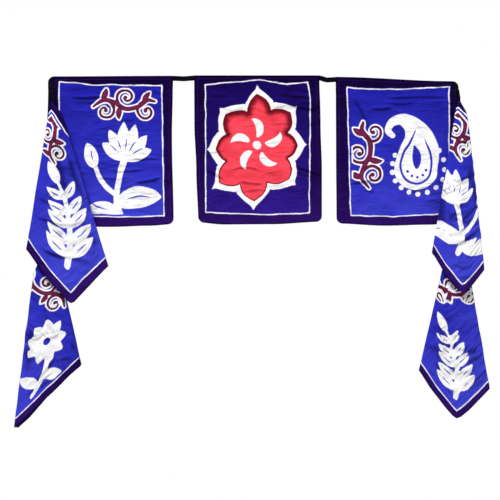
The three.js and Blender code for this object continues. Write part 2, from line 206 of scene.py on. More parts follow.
def scattered(seed: int, count: int, across: Point, up: Point, runs: Point, slopes: Point,
              lifts: Point) -> list[Crease]:
    """Short uneven creases and troughs strewn over a flag.

    Args:
        seed: Seed of their places.
        count: How many.
        across: Least and greatest X of their starts.
        up: Least and greatest Z of their starts.
        runs: Least and greatest run across.
        slopes: Middle and spread of their slopes.
        lifts: Least and greatest height, of either sign.

    Returns:
        The creases.
    """
    draw = np.random.default_rng(seed)
    made = []
    for _ in range(count):
        x, z, run = draw.uniform(*across), draw.uniform(*up), draw.uniform(*runs)
        slope = draw.normal(*slopes)
        lift = draw.uniform(*lifts) * draw.choice([-1, 1])
        made.append(Crease(x, z, x + run, z + run * slope, draw.uniform(2.6, 4.6), lift))
    return made


@dataclass
class Stroke:
    """Run of wax with round ends: points and the half width at each."""

    x: Array
    y: Array
    radius: Array

    def moved(self, x: float, y: float, turn: float = 0.0, scale: float = 1.0,
              mirror: bool = False) -> Stroke:
        """Copy of the stroke in another place.

        Args:
            x: Move across.
            y: Move up.
            turn: Turn in degrees, before the move.
            scale: Growth, before the turn.
            mirror: Whether it is mirrored left to right, before all else.

        Returns:
            The copy.
        """
        across = -self.x if mirror else self.x
        angle = math.radians(turn)
        return Stroke(
            x + scale * (across * math.cos(angle) - self.y * math.sin(angle)),
            y + scale * (across * math.sin(angle) + self.y * math.cos(angle)),
            self.radius * scale,
        )


def drawn(points: Sequence[Point], radii: Sequence[float], steps: int = 7) -> Stroke:
    """Stroke on one smooth curve through a few points.

    Args:
        points: Points that the curve passes.
        radii: Half width at each point.
        steps: Samples between two points.

    Returns:
        The stroke.
    """
    table = np.column_stack([np.asarray(points, float), np.asarray(radii, float)])
    padded = np.vstack([2 * table[0] - table[1], table, 2 * table[-1] - table[-2]])
    share = np.linspace(0, 1, steps, endpoint=False)[:, None]
    parts = []
    for k in range(len(table) - 1):
        a, b, c, d = padded[k:k + 4]
        parts.append(0.5 * (2 * b + (c - a) * share + (2 * a - 5 * b + 4 * c - d) * share ** 2
                            + (3 * b - a - 3 * c + d) * share ** 3))
    line = np.vstack([*parts, table[-1:]])
    return Stroke(line[:, 0], line[:, 1], np.maximum(line[:, 2], 0.3))


def leaf(x: float, y: float, turn: float, length: float, width: float,
         bend: float = 0.0) -> Stroke:
    """Leaf or petal from its foot, pointed at both ends.

    Args:
        x: Foot across.
        y: Foot up.
        turn: Direction of the foot in degrees.
        length: Length along the middle.
        width: Greatest width.
        bend: How far it turns towards its tip, in degrees.

    Returns:
        The stroke.
    """
    share = np.linspace(0, 1, 15)
    angle = np.radians(turn + bend * share)
    step = length / (len(share) - 1)
    run_x = np.concatenate([[0], np.cumsum(np.cos(angle[:-1]) * step)])
    run_y = np.concatenate([[0], np.cumsum(np.sin(angle[:-1]) * step)])
    swell = np.sin(math.pi * share ** 0.85) ** 0.9
    return Stroke(x + run_x, y + run_y, 0.3 + width / 2 * swell)


def curl(x: float, y: float, turn: float, radius: float, turns: float, width: float) -> Stroke:
    """Spiral that winds inwards and ends in a small bead.

    Args:
        x: Middle of the spiral across.
        y: Middle of the spiral up.
        turn: Where it starts, in degrees.
        radius: Distance of the start from the middle.
        turns: Number of turns, negative to wind the other way.
        width: Width of the stroke.

    Returns:
        The stroke.
    """
    share = np.linspace(0, 1, 12 + int(abs(turns) * 16))
    angle = np.radians(turn) + 2 * math.pi * turns * share
    reach = radius * (1 - share) ** 0.8 + 0.08 * radius
    half = width / 2 * mix(1.0, 0.62, share) + width * 0.35 * ease((share - 0.9) / 0.1)
    return Stroke(x + reach * np.cos(angle), y + reach * np.sin(angle), half)


def distance_to(strokes: Iterable[Stroke], x: Array, y: Array) -> Array:
    """Distance from the edge of the nearest stroke.

    Args:
        strokes: The strokes.
        x: Places across.
        y: Places up.

    Returns:
        Distance of each place, negative inside a stroke.
    """
    nearest = np.full(x.shape, 1e3)
    for stroke in strokes:
        for k in range(len(stroke.x) - 1):
            ax, ay = stroke.x[k], stroke.y[k]
            dx, dy = stroke.x[k + 1] - ax, stroke.y[k + 1] - ay
            share = np.clip(((x - ax) * dx + (y - ay) * dy) / max(dx * dx + dy * dy, 1e-9), 0, 1)
            off = np.hypot(x - ax - share * dx, y - ay - share * dy)
            radius = mix(stroke.radius[k], stroke.radius[k + 1], share)
            np.minimum(nearest, off - radius, out=nearest)
    return nearest


@dataclass(frozen=True)
class Pinch:
    """Fine crease along a curve through a few points of a flag that hangs, in X and Z."""

    points: tuple[Point, ...]
    lift: float = 1.4
    spread: float = 3.4
    taper: float = 4.0

    def off(self, x: Array, z: Array) -> Array:
        """Distance from the curve, grown towards its ends so that the crease runs out.

        Args:
            x: Places across.
            z: Places up.

        Returns:
            Distance of each place.
        """
        line = drawn(self.points, [0.0] * len(self.points))
        line.radius = np.interp(np.linspace(0, 1, len(line.x)), (0, 0.25, 0.75, 1),
                                (-self.taper, 0, 0, -self.taper))
        return np.maximum(distance_to([line], x, z), 0)

    def height(self, x: Array, z: Array) -> Array:
        """How far the cloth stands forward at each place, with a trough on both sides."""
        near = self.off(x, z) / self.spread
        return self.lift * (2.0 * np.exp(-near ** 2) - 0.7 * np.exp(-(near / 2.2) ** 2))

    def line(self, x: Array, z: Array) -> Array:
        """How much painted shade, on the crease's lower side, each place takes, from 0 to 1."""
        near = self.off(x, z + 0.5 * self.spread) / (0.7 * self.spread)
        return min(0.25 + self.lift / 2.4, 1.0) * np.exp(-near ** 2)


def distance_to_loop(loop: Array, x: Array, y: Array) -> Array:
    """Distance from a closed outline.

    Args:
        loop: Corners of the outline, in order.
        x: Places across.
        y: Places up.

    Returns:
        Distance of each place, negative inside.
    """
    nearest = np.full(x.shape, 1e6)
    inside = np.zeros(x.shape, bool)
    for (ax, ay), (bx, by) in zip(loop, np.roll(loop, -1, axis=0)):
        dx, dy = bx - ax, by - ay
        share = np.clip(((x - ax) * dx + (y - ay) * dy) / max(dx * dx + dy * dy, 1e-9), 0, 1)
        np.minimum(nearest, (x - ax - share * dx) ** 2 + (y - ay - share * dy) ** 2, out=nearest)
        if ay != by:
            crosses = ((ay > y) != (by > y)) & (x < ax + (y - ay) * dx / dy)
            inside ^= crosses
    return np.where(inside, -1.0, 1.0) * np.sqrt(nearest)


@dataclass(frozen=True)
class Petal:
    """Petal of the lotus: its tip and the notch after it, as angles and distances."""

    tip_angle: float
    tip_reach: float
    notch_angle: float
    notch_reach: float


@dataclass
class Lotus:
    """Eight-petalled lotus with a broad wax outline and a red heart."""

    x: float = -2.0
    y: float = -145.0
    petals: tuple[Petal, ...] = (
        Petal(88.9, 126, 68.6, 96),
        Petal(45.4, 117, 25.4, 85),
        Petal(3.4, 102, -18.3, 82),
        Petal(-43.2, 110, -72.0, 87),
        Petal(-92.2, 126, -114.2, 95),
        Petal(-136.6, 121, -156.0, 81),
        Petal(-177.8, 99, -203.9, 80),
        Petal(-227.5, 108, -256.5, 88),
    )
    edge_shares: tuple[float, ...] = (0, 0.05, 0.12, 0.22, 0.5, 0.77, 0.92, 1)
    edge_heights: tuple[float, ...] = (1, 0.85, 0.72, 0.63, 0.42, 0.2, 0.12, 0)
    heart_shares: tuple[float, ...] = (0, 0.2, 0.5, 0.75, 0.9, 1)
    heart_heights: tuple[float, ...] = (1, 0.86, 0.66, 0.4, 0.2, 0)
    tip_inset: float = 18.0
    notch_inset: float = 14.5
    steps: int = 26

    def loop(self, heart: bool) -> Array:
        """Outline of the wax, or of the red heart inside it.

        Args:
            heart: True for the heart.

        Returns:
            Points of the closed outline.
        """
        shares = self.heart_shares if heart else self.edge_shares
        heights = self.heart_heights if heart else self.edge_heights
        tip_inset, notch_inset = (self.tip_inset, self.notch_inset) if heart else (0.0, 0.0)
        points = []
        for k, petal in enumerate(self.petals):
            before = self.petals[k - 1]
            before_angle = before.notch_angle + (360 if k == 0 else 0)
            halves = ((before_angle, before.notch_reach, True),
                      (petal.notch_angle, petal.notch_reach, False))
            for notch_angle, notch_reach, rising in halves:
                share = np.linspace(1, 0, self.steps, endpoint=False)
                if not rising:
                    share = np.linspace(0, 1, self.steps, endpoint=False)
                height = np.interp(share, shares, heights)
                tip = petal.tip_reach - tip_inset
                notch = notch_reach - notch_inset
                reach = mix(notch, tip, height)
                angle = np.radians(mix(petal.tip_angle, notch_angle, share))
                points.append(np.column_stack([
                    self.x + reach * np.cos(angle), self.y + reach * np.sin(angle)]))
        return np.vstack(points)


@dataclass
class Motif:
    """Design of strokes about its own middle, with the strokes that are cut out of it."""

    strokes: list[Stroke] = field(default_factory=list)
    cut: list[Stroke] = field(default_factory=list)

    def at(self, x: float, y: float, scale: float = 1.0, turn: float = 0.0,
           mirror: bool = False) -> Motif:
        """Puts the design in its place on a flag.

        Args:
            x: Place across.
            y: Place up.
            scale: Its size.
            turn: Its turn, in degrees.
            mirror: Whether it is mirrored.

        Returns:
            The moved design.
        """
        made, cut = ([s.moved(x, y, turn, scale, mirror) for s in strokes]
                     for strokes in (self.strokes, self.cut))
        return Motif(made, cut)

    def distance(self, x: Array, y: Array) -> Array:
        """Distance from the design's edge, negative inside it.

        Args:
            x: Places across.
            y: Places up.

        Returns:
            One distance for each place.
        """
        found = distance_to(self.strokes, x, y)
        if self.cut:
            found = np.maximum(found, -distance_to(self.cut, x, y))
        return found


@dataclass
class Drawing:
    """What the wax and the dyes leave on one flag, in the flag's own places.

    The frame is the drawn line between field and border. The waxed motif is left white, and the
    dyed one takes the second dye inside a white outline. Both keep clear of the frame. Where a
    lotus is drawn, the second dye fills its heart instead. Painted light darkens the dye high up
    and leaves it paler low down.
    """

    frame: tuple[Point, ...]
    wax: Motif
    dyed: Motif = field(default_factory=Motif)
    outline: float = 2.7
    shade: float = 2.6
    clear: float = 5.0
    # pale shifts the painted light gradient paler over the whole flag; low and high are where that
    # gradient runs
    pale: float = 0.0
    low: float = -300.0
    high: float = 0.0
    heart_shades: Point = (3.0, 15.0)
    shake: float = 0.8
    shake_pitch: Point = (24, 70)
    lotus: Lotus | None = None
    seed: int = 1

    def marks(self, x: Array, y: Array) -> dict[str, Array]:
        """Distances, in millimetres, that the dye reads.

        Args:
            x: Places across.
            y: Places up.

        Returns:
            frame: from the drawn frame, positive in the border. resist: from the edge of the
                wax, negative under it. dyed: from the second dye, negative in it. rim: from the
                outer edge of that dye, in widths of its darker rim. painted_light_gradient: painted
                light and shade, from darker high up to paler low down.
        """
        height = np.clip((y - self.low) / (self.high - self.low), 0, 1)
        x = x + self.shake * waves(x, y, self.seed, self.shake_pitch)
        y = y + self.shake * waves(x, y, self.seed + 1, self.shake_pitch)
        frame = distance_to_loop(np.asarray(self.frame, float), x, y)
        resist = self.wax.distance(x, y)
        if self.lotus:
            rim = distance_to_loop(self.lotus.loop(heart=True), x, y)
            petals = distance_to_loop(self.lotus.loop(heart=False), x, y)
            dyed = np.maximum(rim, -resist)
            resist = petals
            rim = rim / mix(*self.heart_shades, ease((height - 0.3) / 0.45))
        else:
            dyed = np.maximum(self.dyed.distance(x, y), frame + self.clear + self.outline)
            rim = dyed / self.shade
            resist = np.minimum(resist, dyed - self.outline)
            resist = np.maximum(resist, frame + self.clear)
        # painted light gradient: the colour is painted darker high up and paler low down
        return {"frame": frame, "resist": resist, "dyed": dyed, "rim": rim,
                "painted_light_gradient": 1 - height + self.pale}


@dataclass
class Laid:
    """A sheet on a grid of rows and columns, in millimetres.

    Points are where it hangs, flat is where each of them lies in the cloth as cut, marks are what
    the dyes read, and body is the share of the thickness.
    """

    points: Array
    flat: Array
    marks: dict[str, Array]
    body: Array
    thickness: float


def deselect() -> None:
    """Leaves nothing selected, and object mode on."""
    if bpy.context.object and bpy.context.object.mode != "OBJECT":
        bpy.ops.object.mode_set(mode="OBJECT")
    bpy.ops.object.select_all(action="DESELECT")


def fill_mesh(piece: bpy.types.Object, laid: Laid) -> None:
    """Moves the points of a square grid to a laid sheet, and gives them its marks and places.

    Args:
        piece: A new grid of side 1 with the sheet's rows and columns.
        laid: The sheet.
    """
    rows, columns = laid.points.shape[:2]
    mesh = piece.data
    start = np.empty(len(mesh.vertices) * 3, np.float32)
    mesh.vertices.foreach_get("co", start)
    start = start.reshape(-1, 3)
    i = np.rint((0.5 - start[:, 1]) * (rows - 1)).astype(int)
    j = np.rint((start[:, 0] + 0.5) * (columns - 1)).astype(int)
    mesh.vertices.foreach_set("co", (laid.points[i, j] * MM).astype(np.float32).ravel())
    for mark, values in laid.marks.items():
        layer = mesh.attributes.new(mark, "FLOAT", "POINT")
        layer.data.foreach_set("value", values[i, j].astype(np.float32))
    corners = np.empty(len(mesh.loops), np.int32)
    mesh.loops.foreach_get("vertex_index", corners)
    flat = (laid.flat[i, j] * MM)[corners]
    mesh.uv_layers[0].uv.foreach_set("vector", flat.astype(np.float32).ravel())
    group = piece.vertex_groups.new(name="body")
    body = np.round(laid.body[i, j], 2)
    for level in np.unique(body):
        group.add(np.flatnonzero(body == level).tolist(), float(level), "REPLACE")


def shape_sheet(name: str, laid: Laid) -> bpy.types.Object:
    """Closed cloth from a laid sheet.

    Args:
        name: Name of the piece.
        laid: Its grid of points, with what is drawn on it.

    Returns:
        The piece, with its thickness applied.
    """
    rows, columns = laid.points.shape[:2]
    deselect()
    bpy.ops.mesh.primitive_grid_add(
        x_subdivisions=columns - 1, y_subdivisions=rows - 1, size=1.0)
    piece = bpy.context.object
    piece.name = piece.data.name = name
    fill_mesh(piece, laid)
    bpy.ops.object.mode_set(mode="EDIT")
    bpy.ops.mesh.select_all(action="SELECT")
    bpy.ops.mesh.remove_doubles(threshold=1e-6)
    bpy.ops.mesh.normals_make_consistent(inside=False)
    bpy.ops.object.mode_set(mode="OBJECT")
    thicken = piece.modifiers.new("thickness", "SOLIDIFY")
    thicken.thickness = laid.thickness * MM
    thicken.offset = 0
    thicken.vertex_group = piece.vertex_groups[0].name
    thicken.thickness_vertex_group = 0.0
    bpy.ops.object.modifier_apply(modifier=thicken.name)
    bpy.ops.object.shade_smooth_by_angle(angle=math.radians(60))
    piece.vertex_groups.clear()
    return piece


def hem_marks(a: Array, b: Array, width: float, height: float) -> tuple[dict[str, Array], Array]:
    """Distances to the cut's edges, and how much of the hem's thickness each place has.

    Args:
        a: Places along the sewn edge.
        b: Places away from it.
        width: Length of the sewn edge.
        height: Length of the edge beside it.

    Returns:
        Marks edge, from the nearest edge, and along, on the way along it, and the share of the
        thickness.
    """
    sides = np.stack([a, width - a, height - b, b])
    edge = sides.min(0)
    nearest = sides.argmin(0)
    run = np.where(nearest < 2, b, a)
    hem = 1 - ease((edge - HEM_WIDTH) / HEM_STEP)
    share = mix(CLOTH_THICKNESS / HEM_THICKNESS, 1.0, hem)
    return {"edge": edge, "along": run}, share


def sheet_normals(points: Array) -> Array:
    """Unit normals of a sheet.

    Args:
        points: Its grid of points.

    Returns:
        One normal for each point.
    """
    down = np.gradient(points, axis=0)
    across = np.gradient(points, axis=1)
    normal = np.cross(across, down)
    return normal / np.maximum(np.linalg.norm(normal, axis=-1, keepdims=True), 1e-9)


@dataclass
class FaceFlag:
    """Flag that hangs face on, flat where it is sewn and softly creased below.

    Top and hem hold rows of a share across and a height. Sides hold rows of a height and the two
    sides' places. Cut is the width and length of the flat cloth. Pitches are the shortest and the
    longest wave of the small relief.
    """

    name: str
    node: str
    slot: Slot
    top: tuple[Point, ...]
    hem: tuple[Point, ...]
    sides: tuple[Place, ...]
    creases: tuple[Crease, ...]
    pinches: tuple[Pinch, ...]
    belly: float
    cut: Point
    drawing: Drawing
    seed: int
    corner_radius: float = 12.0
    sewn_strip: float = 14.0
    relief_fade: float = 30.0
    rumple: float = 0.55
    rumple_pitch: Point = (60, 170)
    ripple: float = 0.12
    ripple_pitch: Point = (16, 34)
    ripple_squash: float = 2.2
    ripple_count: int = 14
    small_creases: int = 26

    def little_creases(self) -> list[Crease]:
        """Short uneven creases, mostly level, from the flag's own seed.

        Returns:
            The creases.
        """
        _, left, right = self.sides[0]
        return scattered(self.seed, self.small_creases, across=(left + 20, right - 50),
                         up=(-285, -30), runs=(25, 80), slopes=(0, 0.14), lifts=(0.25, 0.7))

    def rounded(self, u: Array, v: Array) -> tuple[Array, Array]:
        """Draws the two lower corners in to a round.

        Args:
            u: Shares of the way across.
            v: Shares of the way down.

        Returns:
            The same shares, smaller near those corners.
        """
        reach = abs(self.sides[-1][0])
        _, left, right = self.sides[0]
        width = right - left
        inset_u = self.corner_radius - np.minimum(u, 1 - u) * width
        inset_v = self.corner_radius - (1 - v) * reach
        inside = (inset_u > 0) & (inset_v > 0)
        size = np.maximum(np.hypot(inset_u, inset_v), 1e-9)
        pull = np.where(inside, 1 - np.maximum(inset_u, inset_v) / size, 0)
        return u + np.sign(0.5 - u) * inset_u * pull / width, v - inset_v * pull / reach

    def lift(self, u: Array, v: Array, x: Array, z: Array) -> Array:
        """How far the cloth stands forward of the plane of its sewn edge.

        Args:
            u: Shares of the way across.
            v: Shares of the way down.
            x: Places across.
            z: Places up.

        Returns:
            Height at each place.
        """
        height = self.belly * v * (0.5 + 0.5 * np.sin(math.pi * u))
        for crease in (*self.creases, *self.pinches, *self.little_creases()):
            height = height + crease.height(x, z)
        height = height + self.rumple * waves(x, z, self.seed + 5, self.rumple_pitch)
        height = height + self.ripple * waves(x, z * self.ripple_squash, self.seed + 6,
                                              self.ripple_pitch, self.ripple_count)
        reach = abs(self.sides[-1][0])
        return height * ease((v * reach - self.sewn_strip) / self.relief_fade)

    def lay(self) -> Laid:
        """Hangs the cloth.

        Returns:
            The hanging sheet, with what is drawn on it.
        """
        columns = round(self.cut[0] / FINE_STEP)
        rows = round(self.cut[1] / FINE_STEP)
        u, v = np.meshgrid(np.linspace(0, 1, columns + 1), np.linspace(0, 1, rows + 1))
        flat = np.stack([u * self.cut[0], (1 - v) * self.cut[1]], axis=-1)
        u, v = self.rounded(u, v)
        top = along([p[0] for p in self.top], [p[1] for p in self.top], u)
        hem = along([p[0] for p in self.hem], [p[1] for p in self.hem], u)
        z = mix(top, hem, v)
        heights = [row[0] for row in self.sides]
        left = along(heights, [row[1] for row in self.sides], z)
        right = along(heights, [row[2] for row in self.sides], z)
        x = mix(left, right, u)
        points = np.stack([x, TOP_FLAG_DEPTH - self.lift(u, v, x, z), z], axis=-1)
        marks, body = hem_marks(u * self.cut[0], v * self.cut[1], *self.cut)
        marks.update(self.drawing.marks(x, z))
        # painted shade: the colour is darkened along the lower side of each fine crease
        marks["crease"] = sum((p.line(x, z) for p in self.pinches), np.zeros_like(x))
        return Laid(points, flat, marks, body, HEM_THICKNESS)

    def build(self, finish: DyedCotton) -> bpy.types.Object:
        """Makes the flag, dresses it and puts it in its node's place.

        Args:
            finish: Its dyed cotton.

        Returns:
            The piece.
        """
        piece = shape_sheet(self.name, self.lay())
        finish.dress(piece)
        register(piece, self.node)
        return piece


@dataclass(frozen=True)
class Fold:
    """Line of the folds, named for the reader.

    Upper and lower are degrees across and depth at the two stations. Fall is how long the rays
    hang there, as a share of their length in the flat cloth.
    """

    line: str
    upper: Point
    lower: Point
    fall: float


@dataclass
class Section:
    """Line across the folds, at many distances from the corner at once."""

    places: list[Array]
    falls: list[Array]

    def straight(self, end: Array, fall: Array, count: int) -> None:
        """Goes straight on.

        Args:
            end: Where the stretch ends.
            fall: How far the cloth falls there.
            count: Samples along it.
        """
        start, start_fall = self.places[-1], self.falls[-1]
        for n in range(1, count + 1):
            self.places.append(mix(start, end, n / count))
            self.falls.append(mix(start_fall, fall, n / count))

    def bend(self, corner: Array, end: Array, fall: Array, count: int) -> None:
        """Goes round a bend.

        Args:
            corner: The fold that the bend rounds off.
            end: Where the bend ends.
            fall: How far the cloth falls there.
            count: Samples along it.
        """
        start, start_fall = self.places[-1], self.falls[-1]
        for n in range(1, count + 1):
            t = n / count
            self.places.append((1 - t) ** 2 * start + 2 * t * (1 - t) * corner + t * t * end)
            self.falls.append(mix(start_fall, fall, t))

    def runs(self) -> Array:
        """Way along the line to each sample, one row for each distance from the corner."""
        steps = np.linalg.norm(np.diff(np.stack(self.places, axis=1), axis=1), axis=-1)
        return np.concatenate([np.zeros((len(steps), 1)), np.cumsum(steps, axis=1)], axis=1)


@dataclass
class DropFlag:
    """Flag that hangs by one corner in long folds.

    The cloth is a quarter turn of rays from its hung corner. The folds give the line that the
    rays make across the drop, and each ray runs on to the edge of the cut. Down to the station,
    a distance from the corner, the folds keep their upper places. The narrowing is the share of
    the quarter turn that is laid out, as the rest is gathered at the corner. Pitches are the
    shortest and the longest wave of the small relief, which is loosest on the front.
    """

    name: str
    node: str
    corner: Place
    cut: Point
    station: float
    narrowing: float
    folds: tuple[Fold, ...]
    pinches: tuple[Pinch, ...]
    drawing: Drawing
    seed: int
    facing: int = 1
    bend_steps: int = 9
    levels: int = 200
    passes: int = 9
    rounding: float = 6.0
    rumple: float = 0.32
    rumple_pitch: Point = (40, 120)
    ripple: float = 0.1
    ripple_pitch: Point = (12, 26)
    ripple_count: int = 14
    front_rumple: float = 0.9
    front_pitch: Point = (36, 100)
    front_squash: float = 1.6
    front_shares: Point = (0.64, 0.84)
    small_creases: int = 34
    crease_shade_gain: float = 1.25
    hem_waver: float = 1.5
    hem_pitch: Point = (34, 90)
    tied_to: float = 25.0
    loose_from: float = 60.0
    loosening: float = 60.0

    def little_pinches(self, x: Array, z: Array) -> list[Pinch]:
        """Short creases over the front, slanting as the cloth is drawn down from its corner.

        Args:
            x: Places across.
            z: Places up.

        Returns:
            The creases, each with a slight bow.
        """
        strewn = scattered(self.seed, self.small_creases, across=(x.min(), x.max() - 20),
                           up=(z.min() + 20, z.max() - 80), runs=(22, 54),
                           slopes=(-0.3 * self.facing, 0.32), lifts=(0.3, 1.0))
        return [Pinch(((c.x0, c.z0), ((c.x0 + c.x1) / 2, (c.z0 + c.z1) / 2 - c.lift * 3),
                       (c.x1, c.z1)), abs(c.lift), c.spread * 0.85) for c in strewn]

    def counts(self) -> list[int]:
        """Number of samples along the line across the folds.

        Returns:
            One number for each straight stretch between two bends.
        """
        knots = [(LOWER_STATION * math.radians(f.lower[0]), f.lower[1]) for f in self.folds]
        found = []
        for k in range(1, len(knots)):
            run = math.dist(knots[k - 1], knots[k])
            legs = BEND_LEG * run * (1 if k in (1, len(knots) - 1) else 2)
            found.append(max(2, round((run - legs) / GRID_STEP)))
        return found

    def knots(self, distance: Array) -> list[Array]:
        """Corners of the line across the folds.

        Args:
            distance: Distances from the hung corner.

        Returns:
            For each fold, its place across and its depth at each distance.
        """
        def settle(station: float) -> Array:
            """Share of the upper station's values that is left at each distance."""
            far = 1 / LOWER_STATION
            return (1 / np.maximum(distance, station) - far) / (1 / station - far)

        near = np.minimum(1, distance / DEPTH_STATION)
        spread, rise = settle(self.station), settle(DEPTH_STATION)
        return [np.stack([
            distance * np.radians(mix(f.lower[0], f.upper[0], spread)),
            near * mix(f.lower[1], f.upper[1], rise)], axis=-1) for f in self.folds]

    def sections(self, distance: Array) -> dict[str, Array]:
        """Line across the folds at each distance from the corner.

        Args:
            distance: Distances, in millimetres.

        Returns:
            angle in the flat cloth, across, depth and fall, one row for each distance.
        """
        knots, counts = self.knots(distance), self.counts()
        falls = [f.fall for f in self.folds]
        last = len(knots) - 1
        line = Section([knots[0]], [np.full_like(distance, falls[0])])
        for k in range(1, last):
            before, after = knots[k - 1] - knots[k], knots[k + 1] - knots[k]
            long_before = np.linalg.norm(before, axis=-1)
            long_after = np.linalg.norm(after, axis=-1)
            leg = BEND_LEG * np.minimum(long_before, long_after)
            enter = knots[k] + before * (leg / long_before)[:, None]
            leave = knots[k] + after * (leg / long_after)[:, None]
            enter_fall = mix(falls[k], falls[k - 1], leg / long_before)
            leave_fall = mix(falls[k], falls[k + 1], leg / long_after)
            line.straight(enter, enter_fall, counts[k - 1])
            line.bend(knots[k], leave, leave_fall, self.bend_steps)
        quarter = distance * RIGHT_ANGLE * self.narrowing
        left = np.maximum(quarter - line.runs()[:, -1], 0.02 * distance)
        way = knots[last] - knots[last - 1]
        way = way / np.linalg.norm(way, axis=-1, keepdims=True)
        line.straight(line.places[-1] + way * left[:, None],
                      np.full_like(distance, falls[last]), counts[-1])
        run = line.runs()
        places = np.stack(line.places, axis=1)
        return {
            "angle": RIGHT_ANGLE * run / run[:, -1:],
            "across": places[..., 0],
            "depth": places[..., 1],
            "fall": np.stack(line.falls, axis=1),
        }

    def hang(self, table: dict[str, Array], share: Array, reach: float) -> dict[str, Array]:
        """Places on every ray at shares of the way to the edge of the cut.

        Args:
            table: The line across the folds at even distances from the corner.
            share: The shares.
            reach: Distance of the table's last row.

        Returns:
            The table's values and the distance, one row for each share.
        """
        width, height = self.cut
        distance = np.broadcast_to(share[:, None] * min(self.cut),
                                   (len(share), table["angle"].shape[1])).copy()
        column = np.arange(table["angle"].shape[1])[None, :]
        found: dict[str, Array] = {}
        for _ in range(self.passes):
            level = np.clip(distance / reach * (self.levels - 1), 0, self.levels - 1.001)
            low = level.astype(int)
            for key, values in table.items():
                found[key] = mix(values[low, column], values[low + 1, column], level - low)
            to_side = width / np.maximum(np.cos(found["angle"]), 1e-3)
            to_foot = height / np.maximum(np.sin(found["angle"]), 1e-3)
            edge = -self.rounding * np.logaddexp(-to_side / self.rounding,
                                                 -to_foot / self.rounding)
            edge = edge + self.hem_waver * waves(found["angle"] * edge, edge * 0, self.seed + 8,
                                                 self.hem_pitch)
            distance = share[:, None] * edge
        found["distance"] = distance
        return found

    def with_corner_ray(self, table: dict[str, Array], reach: float) -> dict[str, Array]:
        """Puts one ray exactly through the far corner of the cut, so that it isn't cut off.

        Args:
            table: The line across the folds at even distances from the corner.
            reach: Distance of the table's last row.

        Returns:
            The table with that ray moved there, or added.
        """
        width, height = self.cut
        rim = self.hang(table, np.array([1.0]), reach)["angle"][0]
        at = np.interp(math.atan2(height, width), rim, np.arange(len(rim)))
        low, nearest = int(at), round(at)
        made = {}
        for key, values in table.items():
            line = mix(values[:, low], values[:, low + 1], at - low)
            if abs(at - nearest) < 0.3:
                values[:, nearest] = line
                made[key] = values
            else:
                made[key] = np.insert(values, low + 1, line, axis=1)
        return made

    def lay(self) -> Laid:
        """Hangs the cloth.

        Returns:
            The hanging sheet, with what is drawn on it.
        """
        width, height = self.cut
        reach = math.hypot(width, height) * 1.02
        table = self.sections(np.linspace(0.001, reach, self.levels))
        table = self.with_corner_ray(table, reach)
        rows = round(max(self.cut) * 1.12 / GRID_STEP)
        found = self.hang(table, np.linspace(0, 1, rows + 1), reach)
        distance, depth = found["distance"], found["depth"]
        length = np.sqrt(np.maximum((distance * found["fall"]) ** 2 - depth ** 2, 0))
        lean = found["across"] / np.maximum(distance, 0.001)
        x = self.corner[0] + length * np.sin(lean)
        z = self.corner[2] - length * np.cos(lean)
        points = np.stack([x, self.corner[1] - depth, z], axis=-1)
        a = distance * np.cos(found["angle"])
        b = distance * np.sin(found["angle"])

        front_from, front_full = self.front_shares
        loose = ease((depth / depth.max() - front_from) / (front_full - front_from))
        loose = loose * ease((distance - self.loose_from) / self.loosening)
        tied = ease((distance - self.tied_to) / self.loosening)
        lift = self.rumple * tied * waves(a, b, self.seed + 5, self.rumple_pitch)
        lift = lift + self.ripple * tied * waves(a, b, self.seed + 6, self.ripple_pitch,
                                                 self.ripple_count)
        lift = lift + self.front_rumple * loose * waves(x, z * self.front_squash, self.seed + 7,
                                                        self.front_pitch)
        pressed = (*self.pinches, *self.little_pinches(x, z))
        points = points + sheet_normals(points) * lift[..., None]
        points[..., 1] -= loose * sum((p.height(x, z) for p in pressed), np.zeros_like(x))
        points[0] = self.corner

        marks, body = hem_marks(a, b, width, height)
        body = body * np.minimum(1, 0.02 + distance / THIN_CORNER)
        marks.update(self.drawing.marks(self.facing * (width / 2 - a), -b))
        # painted shade: the colour is darkened along the lower side of each fine crease
        marks["crease"] = self.crease_shade_gain * sum((p.line(x, z) for p in pressed),
                                                     np.zeros_like(x))
        return Laid(points, np.stack([a, b], axis=-1), marks, body, HEM_THICKNESS)

    def build(self, finish: DyedCotton) -> bpy.types.Object:
        """Makes the flag, dresses it and puts it in its node's place.

        Args:
            finish: Its dyed cotton.

        Returns:
            The piece.
        """
        piece = shape_sheet(self.name, self.lay())
        finish.dress(piece)
        register(piece, self.node)
        return piece


